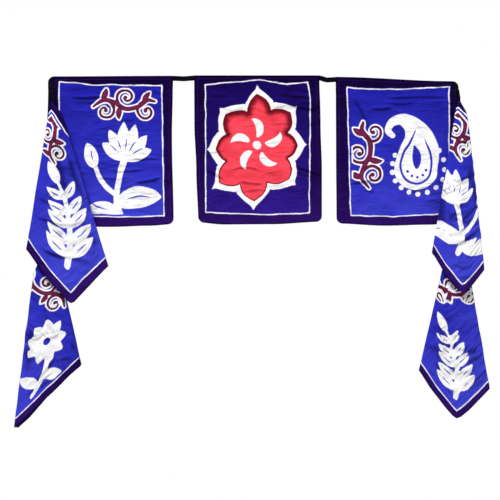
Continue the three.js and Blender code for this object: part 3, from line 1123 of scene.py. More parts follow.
@dataclass
class HeadingTape:
    """Dark cotton tape that carries the flags, along the top and down both sides.

    The tables give its middle line: X and Z along the top, and X, Y and Z down each side.
    """

    name: str = "woven_tape"
    node: str = "heading_tape"
    width: float = 10.0
    thickness: float = 1.4
    turn_radius: float = 7.0
    step: float = 2.2
    ribs: int = 8
    bow: float = 0.12
    edge_share: float = 0.8
    sewn_share: float = 0.86
    turn_steps: int = 12
    top: tuple[Point, ...] = (
        (-407, -7), (-168, -5.8), (-147, -6.6), (-126, -5.2),
        (125, -5.2), (141, -9), (158, -8.2), (392, -16.5),
    )
    left: tuple[Place, ...] = (
        (-414, TAPE_BEHIND, -14), (-413, TAPE_IN_FRONT, -27), (-410, TAPE_IN_FRONT, -49),
        (-410, TAPE_IN_FRONT, -306), (-419, TAPE_BEHIND, -331), (-436.2, TAPE_BEHIND, -612),
    )
    right: tuple[Place, ...] = (
        (399, TAPE_BEHIND, -23.5), (400.5, TAPE_IN_FRONT, -37), (402, TAPE_IN_FRONT, -46),
        (402, TAPE_IN_FRONT, -299), (397, TAPE_BEHIND, -326), (397, TAPE_BEHIND, -602),
    )

    def side(self, rows: Sequence[Place]) -> Array:
        """Middle line down one side.

        Args:
            rows: Its places, from the turn to the end.

        Returns:
            Points along it.
        """
        parts = []
        for start, end in zip(rows, rows[1:]):
            steps = max(6, round((start[2] - end[2]) / self.step))
            share = np.linspace(0, 1, steps, endpoint=False)
            eased = share if start[1] == end[1] else ease(share)
            parts.append(np.column_stack([
                mix(start[0], end[0], eased), mix(start[1], end[1], eased),
                mix(start[2], end[2], share)]))
        return np.vstack([*parts, rows[-1]])

    def turn(self, first: Point, down: Place, sign: int) -> Array:
        """Middle line of the quarter turn from the top into one side.

        Args:
            first: End of the top.
            down: Start of the side.
            sign: 1 towards the right, -1 towards the left.

        Returns:
            Points between the two.
        """
        angle = np.linspace(0, RIGHT_ANGLE, self.turn_steps)[1:-1]
        return np.column_stack([
            first[0] + sign * self.turn_radius * np.sin(angle),
            np.full_like(angle, TAPE_BEHIND),
            mix(first[1], down[2], 1 - np.cos(angle))])

    def line(self) -> Array:
        """Middle line of the whole tape.

        Returns:
            Points from the left end up, along the top and down to the right end.
        """
        first, last = self.top[0], self.top[-1]
        x = np.linspace(first[0], last[0], round((last[0] - first[0]) / self.step) + 1)
        z = along([p[0] for p in self.top], [p[1] for p in self.top], x)
        top = np.column_stack([x, np.full_like(x, TAPE_BEHIND), z])
        return np.vstack([
            self.side(self.left)[::-1], self.turn(first, self.left[0], -1)[::-1], top,
            self.turn(last, self.right[0], 1), self.side(self.right)])

    def lay(self) -> tuple[Laid, float]:
        """Lays the tape along its line.

        Returns:
            The sheet and its length.
        """
        line = self.line()
        run = np.gradient(line, axis=0)
        run /= np.linalg.norm(run, axis=1, keepdims=True)
        width = np.cross(run, [0, -1, 0])
        width /= np.linalg.norm(width, axis=1, keepdims=True)
        across = np.linspace(-0.5, 0.5, self.ribs + 1)
        middle = np.cos(math.pi * across)
        steps = np.linalg.norm(np.diff(line, axis=0), axis=1)
        length = np.concatenate([[0], np.cumsum(steps)])
        points = line[:, None] + width[:, None] * (across * self.width)[None, :, None]
        points = points + np.array([0, -1, 0]) * self.bow * middle[None, :, None]
        grid_run, grid_across = np.meshgrid(length, across * self.width, indexing="ij")
        flat = np.stack([grid_across, grid_run], axis=-1)
        body = np.broadcast_to(mix(self.edge_share, 1.0, np.maximum(middle, 0) ** 0.5),
                               points.shape[:2]).copy()
        marks = {"edge": self.width / 2 - np.abs(grid_across), "along": grid_run}
        laid = Laid(points, flat, marks, body, self.thickness * self.sewn_share)
        return laid, float(length[-1])

    def build(self, finish: TapeCotton) -> bpy.types.Object:
        """Makes the tape, dresses it and puts it in its node's place.

        Args:
            finish: Its woven cotton.

        Returns:
            The piece.
        """
        laid, length = self.lay()
        piece = shape_sheet(self.name, laid)
        finish.dress(piece)
        register(piece, self.node)
        LOG.info("tape %.0f mm long", length)
        return piece


def register(piece: bpy.types.Object, node: str) -> None:
    """Puts a sheet on the body it rides on, hides the CAD node whose place it takes, and logs its
    faces.

    Args:
        piece: The sheet.
        node: The CAD node whose place it takes.
    """
    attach(piece, BODY)
    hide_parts(node)
    LOG.info("%s: %d faces", piece.name, len(piece.data.polygons))


def colour(code: str) -> Rgb:
    """Linear colour from a six-digit code."""
    parts = [int(code[k:k + 2], 16) / 255 for k in (0, 2, 4)]
    return tuple(((p + 0.055) / 1.055) ** 2.4 if p > 0.04045 else p / 12.92 for p in parts)


class Wiring:
    """Adds and links the nodes of one material."""

    def __init__(self, name: str) -> None:
        """Starts a material with one plain shader.

        Args:
            name: Name of the material.
        """
        self.material = bpy.data.materials.new(name)
        self.material.use_nodes = True
        self.tree = self.material.node_tree
        self.shader = self.tree.nodes["Principled BSDF"]

    def node(self, kind: str, **settings: object) -> bpy.types.Node:
        """Adds a node.

        Args:
            kind: Type of the node.
            **settings: Its settings by name.

        Returns:
            The node.
        """
        made = self.tree.nodes.new(kind)
        for key, value in settings.items():
            setattr(made, key, value)
        return made

    def feed(self, socket: bpy.types.NodeSocket, value: object) -> None:
        """Links a socket into another, or sets its plain value.

        Args:
            socket: The socket that is fed.
            value: A socket, a number or a colour.
        """
        if isinstance(value, bpy.types.NodeSocket):
            self.tree.links.new(value, socket)
        elif isinstance(value, tuple) and socket.type == "RGBA":
            socket.default_value = (*value, 1.0)
        else:
            socket.default_value = value

    def mark(self, name: str) -> bpy.types.NodeSocket:
        """Value of an attribute of the mesh."""
        return self.node("ShaderNodeAttribute", attribute_name=name).outputs["Fac"]

    def math(self, operation: str, *values: object) -> bpy.types.NodeSocket:
        """Works out one sum.

        Args:
            operation: Kind of sum.
            *values: Plain or linked values.

        Returns:
            The result.
        """
        made = self.node("ShaderNodeMath", operation=operation)
        for socket, value in zip(made.inputs, values):
            self.feed(socket, value)
        return made.outputs[0]

    def plus(self, one: object, other: object) -> bpy.types.NodeSocket:
        """Sum of two values."""
        return self.math("ADD", one, other)

    def times(self, one: object, other: object) -> bpy.types.NodeSocket:
        """Product of two values."""
        return self.math("MULTIPLY", one, other)

    def swing(self, share: object, width: float) -> bpy.types.NodeSocket:
        """A share from 0 to 1 turned into a value that swings about 0."""
        return self.times(self.math("SUBTRACT", share, 0.5), width)

    def above(self, value: object, low: float, high: float) -> bpy.types.NodeSocket:
        """Smooth step up.

        Args:
            value: The value that is tested.
            low: Where the step starts.
            high: Where it ends.

        Returns:
            0 below the low value, 1 above the high one and smooth between.
        """
        made = self.node("ShaderNodeMapRange", interpolation_type="SMOOTHSTEP")
        for key, given in (("Value", value), ("From Min", low), ("From Max", high)):
            self.feed(made.inputs[key], given)
        return made.outputs["Result"]

    def below(self, value: object, low: float, high: float) -> bpy.types.NodeSocket:
        """Smooth step down: 1 below the low value and 0 above the high one."""
        return self.math("SUBTRACT", 1.0, self.above(value, low, high))

    def off(self, mark: str, place: float) -> bpy.types.NodeSocket:
        """How far a mark is from a value, either way."""
        return self.math("ABSOLUTE", self.math("SUBTRACT", self.mark(mark), place))

    def blend(self, share: object, low: object, high: object) -> bpy.types.NodeSocket:
        """Blends two colours.

        Args:
            share: Share of the second.
            low: First colour.
            high: Second colour.

        Returns:
            The blend.
        """
        made = self.node("ShaderNodeMix", data_type="RGBA", blend_type="MIX")
        self.feed(made.inputs[0], share)
        self.feed(made.inputs[6], low)
        self.feed(made.inputs[7], high)
        return made.outputs[2]

    def cloth_places(self, stretch: Place = (1, 1, 1), offset: float = 0.0) -> bpy.types.NodeSocket:
        """Places in the flat cloth, from its own map.

        Args:
            stretch: How much each direction is stretched.
            offset: Shift, so that two patterns differ.

        Returns:
            The places, in millimetres.
        """
        coordinate = self.node("ShaderNodeTexCoord")
        mapping = self.node("ShaderNodeMapping")
        self.feed(mapping.inputs["Vector"], coordinate.outputs["UV"])
        mapping.inputs["Scale"].default_value = tuple(s / MM for s in stretch)
        mapping.inputs["Location"].default_value = (offset, offset * 0.7, offset * 1.3)
        return mapping.outputs["Vector"]

    def noise(self, places: object, pitch: float, detail: float = 3.0,
              warp: float = 0.0) -> bpy.types.NodeSocket:
        """Soft noise.

        Args:
            places: Where it is read.
            pitch: Its size, in millimetres.
            detail: Number of finer layers.
            warp: How much it is bent.

        Returns:
            Its value, from 0 to 1.
        """
        made = self.node("ShaderNodeTexNoise")
        self.feed(made.inputs["Vector"], places)
        made.inputs["Scale"].default_value = 1 / pitch
        made.inputs["Detail"].default_value = detail
        made.inputs["Distortion"].default_value = warp
        return made.outputs["Fac"]

    def bump(self, height: object, depth: float, strength: float,
             normal: object = None) -> bpy.types.NodeSocket:
        """Normal bent by a height.

        Args:
            height: The height, from 0 to 1.
            depth: What a height of 1 stands for, in millimetres.
            strength: How much of it counts.
            normal: A normal that is bent already.

        Returns:
            The new normal.
        """
        made = self.node("ShaderNodeBump")
        self.feed(made.inputs["Height"], height)
        made.inputs["Distance"].default_value = depth * MM
        made.inputs["Strength"].default_value = strength
        if normal is not None:
            self.feed(made.inputs["Normal"], normal)
        return made.outputs["Normal"]

    def threads(self, pitch: float) -> bpy.types.NodeSocket:
        """Height of a plain weave, one thread over and one under.

        Args:
            pitch: Distance between threads, in millimetres.

        Returns:
            The height.
        """
        split = self.node("ShaderNodeSeparateXYZ")
        self.feed(split.inputs[0], self.cloth_places())
        warp = self.math("SINE", self.times(split.outputs["X"], math.pi / pitch))
        weft = self.math("SINE", self.times(split.outputs["Y"], math.pi / pitch))
        return self.math("ABSOLUTE", self.times(warp, weft))

    def finish(self, seen: object, normal: object, roughness: float, gloss: float) -> None:
        """Feeds the shader.

        Args:
            seen: The colour.
            normal: The bent normal.
            roughness: How matt it is.
            gloss: Level of its specular light.
        """
        self.feed(self.shader.inputs["Base Color"], seen)
        self.feed(self.shader.inputs["Normal"], normal)
        self.shader.inputs["Roughness"].default_value = roughness
        self.shader.inputs["Specular IOR Level"].default_value = gloss


@dataclass(frozen=True)
class DyedCotton:
    """Cotton dyed in its field and border round drawn wax.

    Colours are six-digit codes. A field and a border have a deep and a pale tone each, wax leaves
    the cotton white with a tint, and a halo of thin dye creeps under its edge. Pitches are sizes of
    uneven patches, in millimetres.
    """

    name: str
    field: str = "2b2cb2"
    field_deep: str = "1c1b97"
    field_pale: str = "3d40c8"
    border: str = "1b0549"
    border_deep: str = "0f0130"
    border_pale: str = "2d1064"
    wax: str = "f9f9f9"
    wax_tint: str = "ededf1"
    halo: str = "a79be0"
    second: str = "74234e"
    second_deep: str = "561439"
    # crease: dark colour of the painted shade along creases and the outer edge, and of the flecks
    crease: str = "06021c"
    thread: str = "2a1a58"
    line_width: float = 2.1
    crease_shade_depth: float = 0.62
    weave: float = 0.55
    weave_height: float = 0.12
    cloud_pitch: float = 46.0
    streak_pitch: float = 9.0
    fleck_pitch: float = 1.6
    waver_pitch: float = 7.0
    waver: float = 1.3
    crack_pitch: float = 21.0
    crack_patch_pitch: float = 30.0
    swirl_pitch: float = 14.0
    swirl: float = 16.0
    tint_pitch: float = 18.0
    line_pitch: float = 26.0
    crumple_pitch: float = 22.0
    crumple_height: float = 8.0
    calm_pitch: float = 55.0
    pucker_pitch: float = 6.0
    pucker_height: float = 1.2
    groove_height: float = 0.35

    def ground(self, net: Wiring, cloud: object, frame: object) -> bpy.types.NodeSocket:
        """Field and border, uneven as dye takes, with painted light: darker high up, paler low
        down.

        Args:
            net: The material's nodes.
            cloud: Broad patches of the dye.
            frame: Distance from the drawn frame.

        Returns:
            The colour.
        """
        streak = net.noise(net.cloth_places((0.35, 1.6, 1), 3.0), self.streak_pitch)
        tone = net.plus(net.swing(cloud, 0.55), net.swing(streak, 0.35))
        # depth mixes the painted light gradient with the random patches of dye
        depth = net.plus(net.mark("painted_light_gradient"), tone)
        field_tone = net.blend(net.above(depth, -0.1, 0.62), colour(self.field_deep),
                               colour(self.field))
        field_tone = net.blend(net.above(depth, 0.5, 1.15), field_tone, colour(self.field_pale))
        border_tone = net.blend(net.above(depth, -0.2, 0.6), colour(self.border_deep),
                                colour(self.border))
        border_tone = net.blend(net.above(depth, 0.55, 1.2), border_tone,
                                colour(self.border_pale))
        return net.blend(net.above(frame, -DYE_EDGE, DYE_EDGE), field_tone, border_tone)

    def undyed(self, net: Wiring, places: object) -> bpy.types.NodeSocket:
        """White cotton that the wax kept, with hair cracks where dye crept in.

        Args:
            net: The material's nodes.
            places: Places in the flat cloth.

        Returns:
            The colour.
        """
        swirl = net.node("ShaderNodeTexNoise")
        net.feed(swirl.inputs["Vector"], places)
        swirl.inputs["Scale"].default_value = 1 / self.swirl_pitch
        push = net.node("ShaderNodeVectorMath", operation="SCALE")
        net.feed(push.inputs[0], swirl.outputs["Color"])
        push.inputs["Scale"].default_value = self.swirl
        bent = net.node("ShaderNodeVectorMath", operation="ADD")
        net.feed(bent.inputs[0], places)
        net.feed(bent.inputs[1], push.outputs[0])
        veins = net.node("ShaderNodeTexVoronoi", feature="DISTANCE_TO_EDGE")
        net.feed(veins.inputs["Vector"], bent.outputs[0])
        veins.inputs["Scale"].default_value = 1 / self.crack_pitch
        hair = net.below(veins.outputs["Distance"], 0.004, 0.02)
        patch = net.above(net.noise(places, self.crack_patch_pitch, 2), 0.47, 0.62)
        tone = net.blend(net.above(net.noise(places, self.tint_pitch, 4), 0.42, 0.72),
                         colour(self.wax), colour(self.wax_tint))
        return net.blend(net.times(net.times(hair, patch), 0.35), tone, colour(self.halo))

    def second_dye(self, net: Wiring, cloud: object, waver: object) -> bpy.types.NodeSocket:
        """Second dye, darker along its rim.

        Args:
            net: The material's nodes.
            cloud: Broad patches of the dye.
            waver: Unsteadiness of drawn edges.

        Returns:
            The colour.
        """
        rim = net.plus(net.mark("rim"), net.times(waver, 0.35))
        deep = colour(self.second_deep)
        tone = net.blend(net.below(rim, -1.2, -0.3), deep, colour(self.second))
        return net.blend(net.times(net.above(cloud, 0.45, 0.75), 0.3), tone, deep)

    def wear_and_painted_shade(self, net: Wiring, places: object, pale: object,
             seen: object) -> bpy.types.NodeSocket:
        """Colour with flecks, the hem's dark turned edge and worn creases over it.

        Args:
            net: The material's nodes.
            places: Places in the flat cloth.
            pale: Where the cloth is white, and so takes less of the painted crease shade.
            seen: The colour under them.

        Returns:
            The colour.
        """
        dark = colour(self.crease)
        fleck = net.above(net.noise(places, self.fleck_pitch, 2), 0.5, 0.8)
        seen = net.blend(net.times(fleck, 0.14), seen, dark)
        # painted shade: the outermost few millimetres of the cloth are darkened
        painted_edge_shade = net.below(net.mark("edge"), 0.6, 4.2)
        seen = net.blend(net.times(painted_edge_shade, 0.7), seen, dark)
        # painted shade along the fine creases, weaker on white cloth
        crease = net.times(net.math("MINIMUM", net.mark("crease"), 1.0), self.crease_shade_depth)
        on_white = net.math("SUBTRACT", 1.0, net.times(pale, 0.72))
        return net.blend(net.times(crease, on_white), seen, dark)

    def stitched(self, net: Wiring, seen: object) -> bpy.types.NodeSocket:
        """Colour with the hem's machine stitches over it.

        Args:
            net: The material's nodes.
            seen: The colour under them.

        Returns:
            The colour.
        """
        near = net.below(net.off("edge", STITCH_INSET), 0.25, 0.5)
        beat = net.math("FRACT", net.math("DIVIDE", net.mark("along"), STITCH_PITCH))
        dash = net.below(net.math("ABSOLUTE", net.math("SUBTRACT", beat, 0.5)), 0.34, 0.42)
        return net.blend(net.times(near, dash), seen, colour(self.thread))

    def colours(self, net: Wiring) -> bpy.types.NodeSocket:
        """Colour of the cloth, from the marks that its mesh carries.

        Args:
            net: The material's nodes.

        Returns:
            The colour.
        """
        places = net.cloth_places()
        cloud = net.noise(places, self.cloud_pitch, 4, 0.6)
        waver = net.swing(net.noise(places, self.waver_pitch), self.waver)
        frame = net.plus(net.mark("frame"), waver)
        white, halo = self.undyed(net, places), colour(self.halo)

        width = net.plus(net.math("ABSOLUTE", frame),
                         net.swing(net.noise(places, self.line_pitch, 2), 2.0))
        line = net.below(width, self.line_width / 2 - 0.45, self.line_width / 2 + 0.35)
        fringe = net.times(net.below(width, 1.0, 2.6), 0.2)
        resist = net.plus(net.mark("resist"), net.times(waver, 0.7))
        covered = net.below(resist, -DYE_EDGE, DYE_EDGE)
        creep = net.times(net.below(resist, 0.2, 1.8), 0.25)
        dyed = net.plus(net.mark("dyed"), net.times(waver, 0.5))
        inked = net.below(dyed, -DYE_EDGE, DYE_EDGE)

        seen = net.blend(fringe, self.ground(net, cloud, frame), halo)
        seen = net.blend(line, seen, white)
        seen = net.blend(creep, seen, halo)
        seen = net.blend(covered, seen, white)
        seen = net.blend(inked, seen, self.second_dye(net, cloud, waver))
        bare = net.times(covered, net.math("SUBTRACT", 1.0, inked))
        seen = self.wear_and_painted_shade(net, places, net.math("MAXIMUM", line, bare), seen)
        return self.stitched(net, seen)

    def relief(self, net: Wiring) -> bpy.types.NodeSocket:
        """Bent normal: crumpled patches, the seam's puckers and groove, and the weave.

        Args:
            net: The material's nodes.

        Returns:
            The normal.
        """
        calm = net.noise(net.cloth_places((0.6, 1, 1), 4.0), self.calm_pitch, 2)
        crumple = net.noise(net.cloth_places((0.42, 1.3, 1), 9.0), self.crumple_pitch, 3, 1.4)
        patches = net.times(crumple, net.plus(net.above(calm, 0.4, 0.62), 0.25))
        bent = net.bump(patches, self.crumple_height, 0.6)
        pucker = net.times(net.below(net.mark("edge"), 7, 16),
                           net.noise(net.cloth_places((1, 1, 1), 5.0), self.pucker_pitch, 2))
        bent = net.bump(pucker, self.pucker_height, 0.5, bent)
        groove = net.above(net.off("edge", STITCH_INSET), 0.3, 1.1)
        bent = net.bump(groove, self.groove_height, 0.6, bent)
        return net.bump(net.threads(self.weave), self.weave_height, 0.5, bent)

    def material(self) -> bpy.types.Material:
        """The finish as a material.

        Returns:
            A new material.
        """
        net = Wiring(self.name)
        net.finish(self.colours(net), self.relief(net), roughness=0.9, gloss=0.03)
        return net.material

    def dress(self, piece: bpy.types.Object) -> None:
        """Gives the piece this finish.

        Args:
            piece: A flag.
        """
        material = bpy.data.materials.get(self.name) or self.material()
        piece.data.materials.clear()
        piece.data.materials.append(material)


@dataclass(frozen=True)
class TapeCotton:
    """Close-woven dark tape."""

    name: str = "dark_tape"
    thread: str = "06050b"
    wear_and_painted_shade: str = "110d1a"
    selvedge: str = "1c1728"
    rib: float = 0.8
    rib_height: float = 0.2
    seam_inset: float = 1.6

    def material(self) -> bpy.types.Material:
        """The finish as a material.

        Returns:
            A new material.
        """
        net = Wiring(self.name)
        places = net.cloth_places()
        tone = net.above(net.noise(places, 6, 4), 0.35, 0.7)
        seen = net.blend(tone, colour(self.thread), colour(self.wear_and_painted_shade))
        edge = net.below(net.mark("edge"), 0.1, 0.8)
        seen = net.blend(net.times(edge, 0.5), seen, colour(self.selvedge))
        bent = net.bump(net.noise(places, 5), 0.5, 0.4)
        bent = net.bump(net.above(net.off("edge", self.seam_inset), 0.2, 0.6), 0.3, 0.6, bent)
        bent = net.bump(net.threads(self.rib), self.rib_height, 0.6, bent)
        net.finish(seen, bent, roughness=0.85, gloss=0.03)
        return net.material

    def dress(self, piece: bpy.types.Object) -> None:
        """Gives the piece this finish."""
        piece.data.materials.clear()
        piece.data.materials.append(self.material())


def bead(x: float, y: float, radius: float) -> Stroke:
    """Round dot, as a stroke of nearly no length."""
    return Stroke(np.array([x, x + 0.01]), np.array([y, y]), np.full(2, radius))


def lotus_spray() -> Motif:
    """Open lotus on a bowed stem, with a bud and two broad leaves, and the veins cut in them.

    Returns:
        The design.
    """
    made = [drawn([(0, -92), (-9, -58), (-4, -18), (6, 20)], [6.2, 5.6, 5, 6.5])]
    veins = []
    for k, length in enumerate((52, 60, 66, 68, 60, 50)):
        angle = 14 + 27 * k
        made.append(leaf(6, 20, angle, length, 24, 9 if angle < 90 else -9))
        if k:
            gap = math.radians(angle - 12)
            veins.append(drawn([(6 + r * math.cos(gap), 20 + r * math.sin(gap))
                                for r in (15, 26, 37)], [0.5, 1.3, 0.9]))
    made.append(drawn([(-8, -50), (-34, -26), (-50, 8)], [4.8, 4.4, 4]))
    made.append(leaf(-50, 4, 104, 46, 25, 6))
    made.append(leaf(-7, -64, 24, 84, 40, -34))
    made.append(leaf(-6, -80, 172, 74, 38, 38))
    veins.append(drawn([(10, -57), (34, -50), (58, -52)], [0.6, 1.6, 0.5]))
    veins.append(drawn([(-22, -76), (-44, -70), (-62, -56)], [0.6, 1.6, 0.5]))
    veins.append(drawn([(-51, 14), (-55, 26), (-56, 38)], [0.5, 1.4, 0.5]))
    return Motif(made, veins)


def paisley() -> Motif:
    """Curled mango shape in a row of beads, with a ring and a small flower cut out of it.

    Returns:
        The design.
    """
    heart_x, heart_y = 1, -31
    made = [drawn([(0, -32), (8, -4), (9, 20), (0, 42), (-18, 55), (-36, 52), (-44, 38),
                   (-37, 28)], [38, 34, 25, 16, 10, 7, 5.5, 4.5], 9)]
    for k in range(13):
        angle = math.radians(-214 + 20.6 * k)
        reach = 46.5 + 3.5 * math.cos(angle)
        made.append(bead(heart_x + reach * math.cos(angle), heart_y + reach * math.sin(angle),
                         4.3))
    slips = [drawn([(4, 36), (-6, 16), (-20, -4), (-27, -26), (-21, -48), (-2, -59), (19, -51),
                    (28, -28), (25, -2), (20, 18)], [0.8] + [2.1] * 8 + [0.8], 9)]
    slips.append(leaf(1, -34, 80, 44, 15, 26))
    for k in range(5):
        angle = math.radians(198 + 36 * k)
        slips.append(bead(heart_x + 17 * math.cos(angle), heart_y + 17 * math.sin(angle), 2.6))
    return Motif(made, slips)


def fern() -> Motif:
    """Bowed stem with pairs of leaves that shorten to the tip, a vein cut in each.

    Returns:
        The design.
    """
    pairs = 5
    stem = drawn([(4, -96), (8, -50), (4, -6), (-6, 36), (-20, 66)], [6.4, 5.6, 4.8, 3.8, 2.6])
    made = [stem, leaf(-19, 62, 116, 44, 22, 8)]
    veins = []
    for k in range(pairs):
        at = round((0.1 + 0.8 * k / pairs) * (len(stem.x) - 1))
        length, lean = 64 - 6 * k, 5 * k
        for angle, bend in ((30 + lean, 26), (152 + lean, -26)):
            made.append(leaf(stem.x[at], stem.y[at], angle, length, 24 - 1.8 * k, bend))
            vein = leaf(stem.x[at], stem.y[at], angle, length, 2.8, bend)
            veins.append(Stroke(vein.x[4:-4], vein.y[4:-4], vein.radius[4:-4] * 0.8))
    return Motif(made, veins)


def blossom() -> Motif:
    """Round blossom on a bowed stem with two leaves, and the round heart cut from it.

    Returns:
        The design.
    """
    made = [drawn([(0, 0), (8, -44), (0, -84), (-16, -116)], [5, 5.6, 5.6, 4.4])]
    made.extend(leaf(0, 0, 40 * k + 10, 48, 26, 8) for k in range(9))
    made.append(leaf(4, -66, -24, 50, 25, 34))
    made.append(leaf(-6, -92, 168, 48, 24, -30))
    return Motif(made, [bead(0, 0, 9)])


def scroll() -> Motif:
    """Winding vine with curls and leaves, for the second dye.

    Returns:
        The design.
    """
    return Motif([
        drawn([(-62, -4), (-42, 8), (-20, 4), (2, -8), (26, -6), (46, 8), (62, 6)],
              [2.2, 4.2, 4.6, 4.6, 4.6, 4.2, 2.2], 9),
        curl(-38, -13, 84, 19, -1.15, 6.0),
        curl(4, 14, 264, 20, -1.2, 6.2),
        curl(44, -14, 92, 19, 1.15, 6.0),
        leaf(-44, 8, 58, 26, 11, 30),
        leaf(-8, -4, 250, 27, 11, 34),
        leaf(38, 4, 70, 25, 11, -26)])


def whorl() -> Motif:
    """Turning flower of five hooked petals round a bead.

    Returns:
        The design.
    """
    made = [bead(0, 0, 8.5)]
    for angle in range(90, 450, 72):
        foot = math.radians(angle)
        made.append(leaf(17 * math.cos(foot), 17 * math.sin(foot), angle - 38, 46, 15, 118))
    return Motif(made)


def cut_frame(width: float, height: float, seed: int, side: float,
              foot: float) -> tuple[Point, ...]:
    """Drawn frame of a flag laid flat, uneven as drawn by hand.

    Args:
        width: Width of the flag.
        height: Its height, from the sewn edge down.
        seed: Start of its random draws.
        side: How far in the frame stands at the top and sides.
        foot: How far up it stands at the foot.

    Returns:
        Corners of the frame, in order round it.
    """
    draw = np.random.default_rng(seed)
    left, right, top, hem = -width / 2 + side, width / 2 - side, -side, -height + foot
    corners = [(left, top), (right, top), (right, hem), (left, hem)]
    loop = []
    for (x0, y0), (x1, y1) in zip(corners, corners[1:] + corners[:1]):
        for share in (0, 0.35, 0.7):
            off = draw.normal(0, 0.9, 2) if share else (0, 0)
            loop.append((mix(x0, x1, share) + off[0], mix(y0, y1, share) + off[1]))
    return tuple(loop)


def face_flags() -> list[FaceFlag]:
    """Tables of the three flags along the top.

    Returns:
        The flags, from left to right.
    """
    return [
        FaceFlag(
            name="cloth_left_inner", node="flag_left_inner", slot=Slot.CLOTH, cut=(253, 302),
            top=((0, -2), (1, -0.8)),
            hem=((0, -303), (0.5, -303.8), (0.8, -301.5), (1, -298.5)),
            sides=((0, -408.7, -168), (-19.5, -408.7, -168.4), (-31, -418.5, -168.8),
                   (-120, -421, -170.4), (-300, -419, -167)),
            creases=(Crease(-390, -43, -290, -46, 9, 1.6), Crease(-300, -172, -172, -178, 10, 2.2),
                     Crease(-290, -208, -172, -205, 9, 1.8)),
            pinches=(
                Pinch(((-376, -42), (-352, -44), (-330, -43), (-300, -41)), 1.9),
                Pinch(((-372, -51), (-340, -53), (-316, -52)), 1.0),
                Pinch(((-330, -62), (-290, -60), (-262, -63)), 0.9),
                Pinch(((-292, -90), (-262, -88), (-240, -90)), 0.8),
                Pinch(((-262, -157), (-240, -164), (-222, -171)), 1.3),
                Pinch(((-262, -168), (-226, -166), (-190, -167)), 1.6),
                Pinch(((-300, -189), (-262, -191), (-224, -188)), 1.3),
                Pinch(((-330, -203), (-290, -206), (-250, -204)), 1.1),
                Pinch(((-250, -214), (-216, -210), (-190, -203)), 1.9),
                Pinch(((-262, -246), (-236, -243), (-206, -246)), 0.9)),
            belly=2.4, seed=21,
            drawing=Drawing(
                frame=((-397, -13.4), (-357, -15.4), (-330.4, -19), (-191, -20.2),
                       (-186.2, -282), (-290, -283.6), (-395, -282)),
                wax=lotus_spray().at(-272, -188, 1.08), dyed=scroll().at(-266, -58), seed=31),
        ),
        FaceFlag(
            name="cloth_centre", node="flag_centre", slot=Slot.INDIGO, cut=(252, 298),
            top=((0, 0), (1, 0)), hem=((0, -295), (0.2, -299), (0.6, -298.4), (1, -293.5)),
            sides=((0, -126, 125), (-95, -125.6, 127.4), (-192, -121.6, 130),
                   (-300, -117.5, 130)),
            creases=(Crease(40, -56, 128, -50, 11, 2.4), Crease(-110, -186, 20, -196, 13, 2.2),
                     Crease(30, -190, 128, -182, 12, 2.0)),
            pinches=(
                Pinch(((40, -35), (74, -40), (108, -43)), 1.5, 4.5),
                Pinch(((70, -58), (92, -64), (122, -68)), 1.4, 4.0),
                Pinch(((-98, -40), (-74, -38), (-52, -41)), 0.9, 4.0),
                Pinch(((72, -178), (96, -188), (132, -200)), 1.9, 4.0),
                Pinch(((74, -191), (98, -198), (120, -202)), 1.3),
                Pinch(((-104, -186), (-84, -196), (-62, -210)), 1.3, 4.2),
                Pinch(((-56, -190), (-34, -184), (-12, -184), (16, -194)), 1.2),
                Pinch(((-40, -210), (-12, -215), (18, -217)), 1.3),
                Pinch(((-30, -232), (2, -228), (26, -231)), 0.8)),
            belly=4, seed=22,
            drawing=Drawing(
                frame=((-103.8, -19), (4, -8.8), (62, -17.4), (102, -13.4), (107.2, -47),
                       (104.6, -275.2), (20, -279.6), (-102.6, -274.8)),
                wax=whorl().at(0, -140, 0.98), lotus=Lotus(), seed=32),
        ),
        FaceFlag(
            name="cloth_right_inner", node="flag_right_inner", slot=Slot.CLOTH, cut=(246, 298),
            top=((0, -3), (1, -11.8)),
            hem=((0, -297), (0.4, -301.4), (0.75, -299.4), (1, -296)),
            sides=((0, 157.6, 393.8), (-29.5, 157.8, 394.5), (-41, 158, 403.5),
                   (-150, 158.4, 405), (-300, 159.4, 403)),
            creases=(Crease(176, -46, 384, -50, 9, 1.8), Crease(182, -40, 222, -112, 9, 2.0),
                     Crease(200, -205, 380, -208, 10, 2.0)),
            pinches=(
                Pinch(((254, -41), (276, -44), (318, -42), (365, -42), (390, -47)), 1.7),
                Pinch(((222, -66), (247, -66), (276, -64)), 1.8),
                Pinch(((186, -37), (203, -59), (213, -81), (226, -108)), 2.0),
                Pinch(((226, -112), (218, -136), (210, -152)), 0.9, 4.5),
                Pinch(((258, -54), (290, -56), (320, -53)), 0.9),
                Pinch(((192, -178), (226, -186), (252, -184)), 1.0),
                Pinch(((184, -217), (210, -212), (234, -208)), 1.7),
                Pinch(((214, -228), (224, -230), (236, -232)), 1.4),
                Pinch(((306, -234), (322, -228), (340, -222)), 1.4),
                Pinch(((330, -252), (352, -250), (372, -254)), 0.8)),
            belly=2.4, seed=23,
            drawing=Drawing(
                frame=((180.6, -24), (223, -27.6), (295.6, -27.6), (385.4, -22.8),
                       (384, -276), (358.6, -278.4), (271.4, -283.2), (187.8, -280.8)),
                wax=paisley().at(316, -150, 1.14, 4), dyed=scroll().at(219, -160, 1.06, 90),
                seed=33),
        ),
    ]


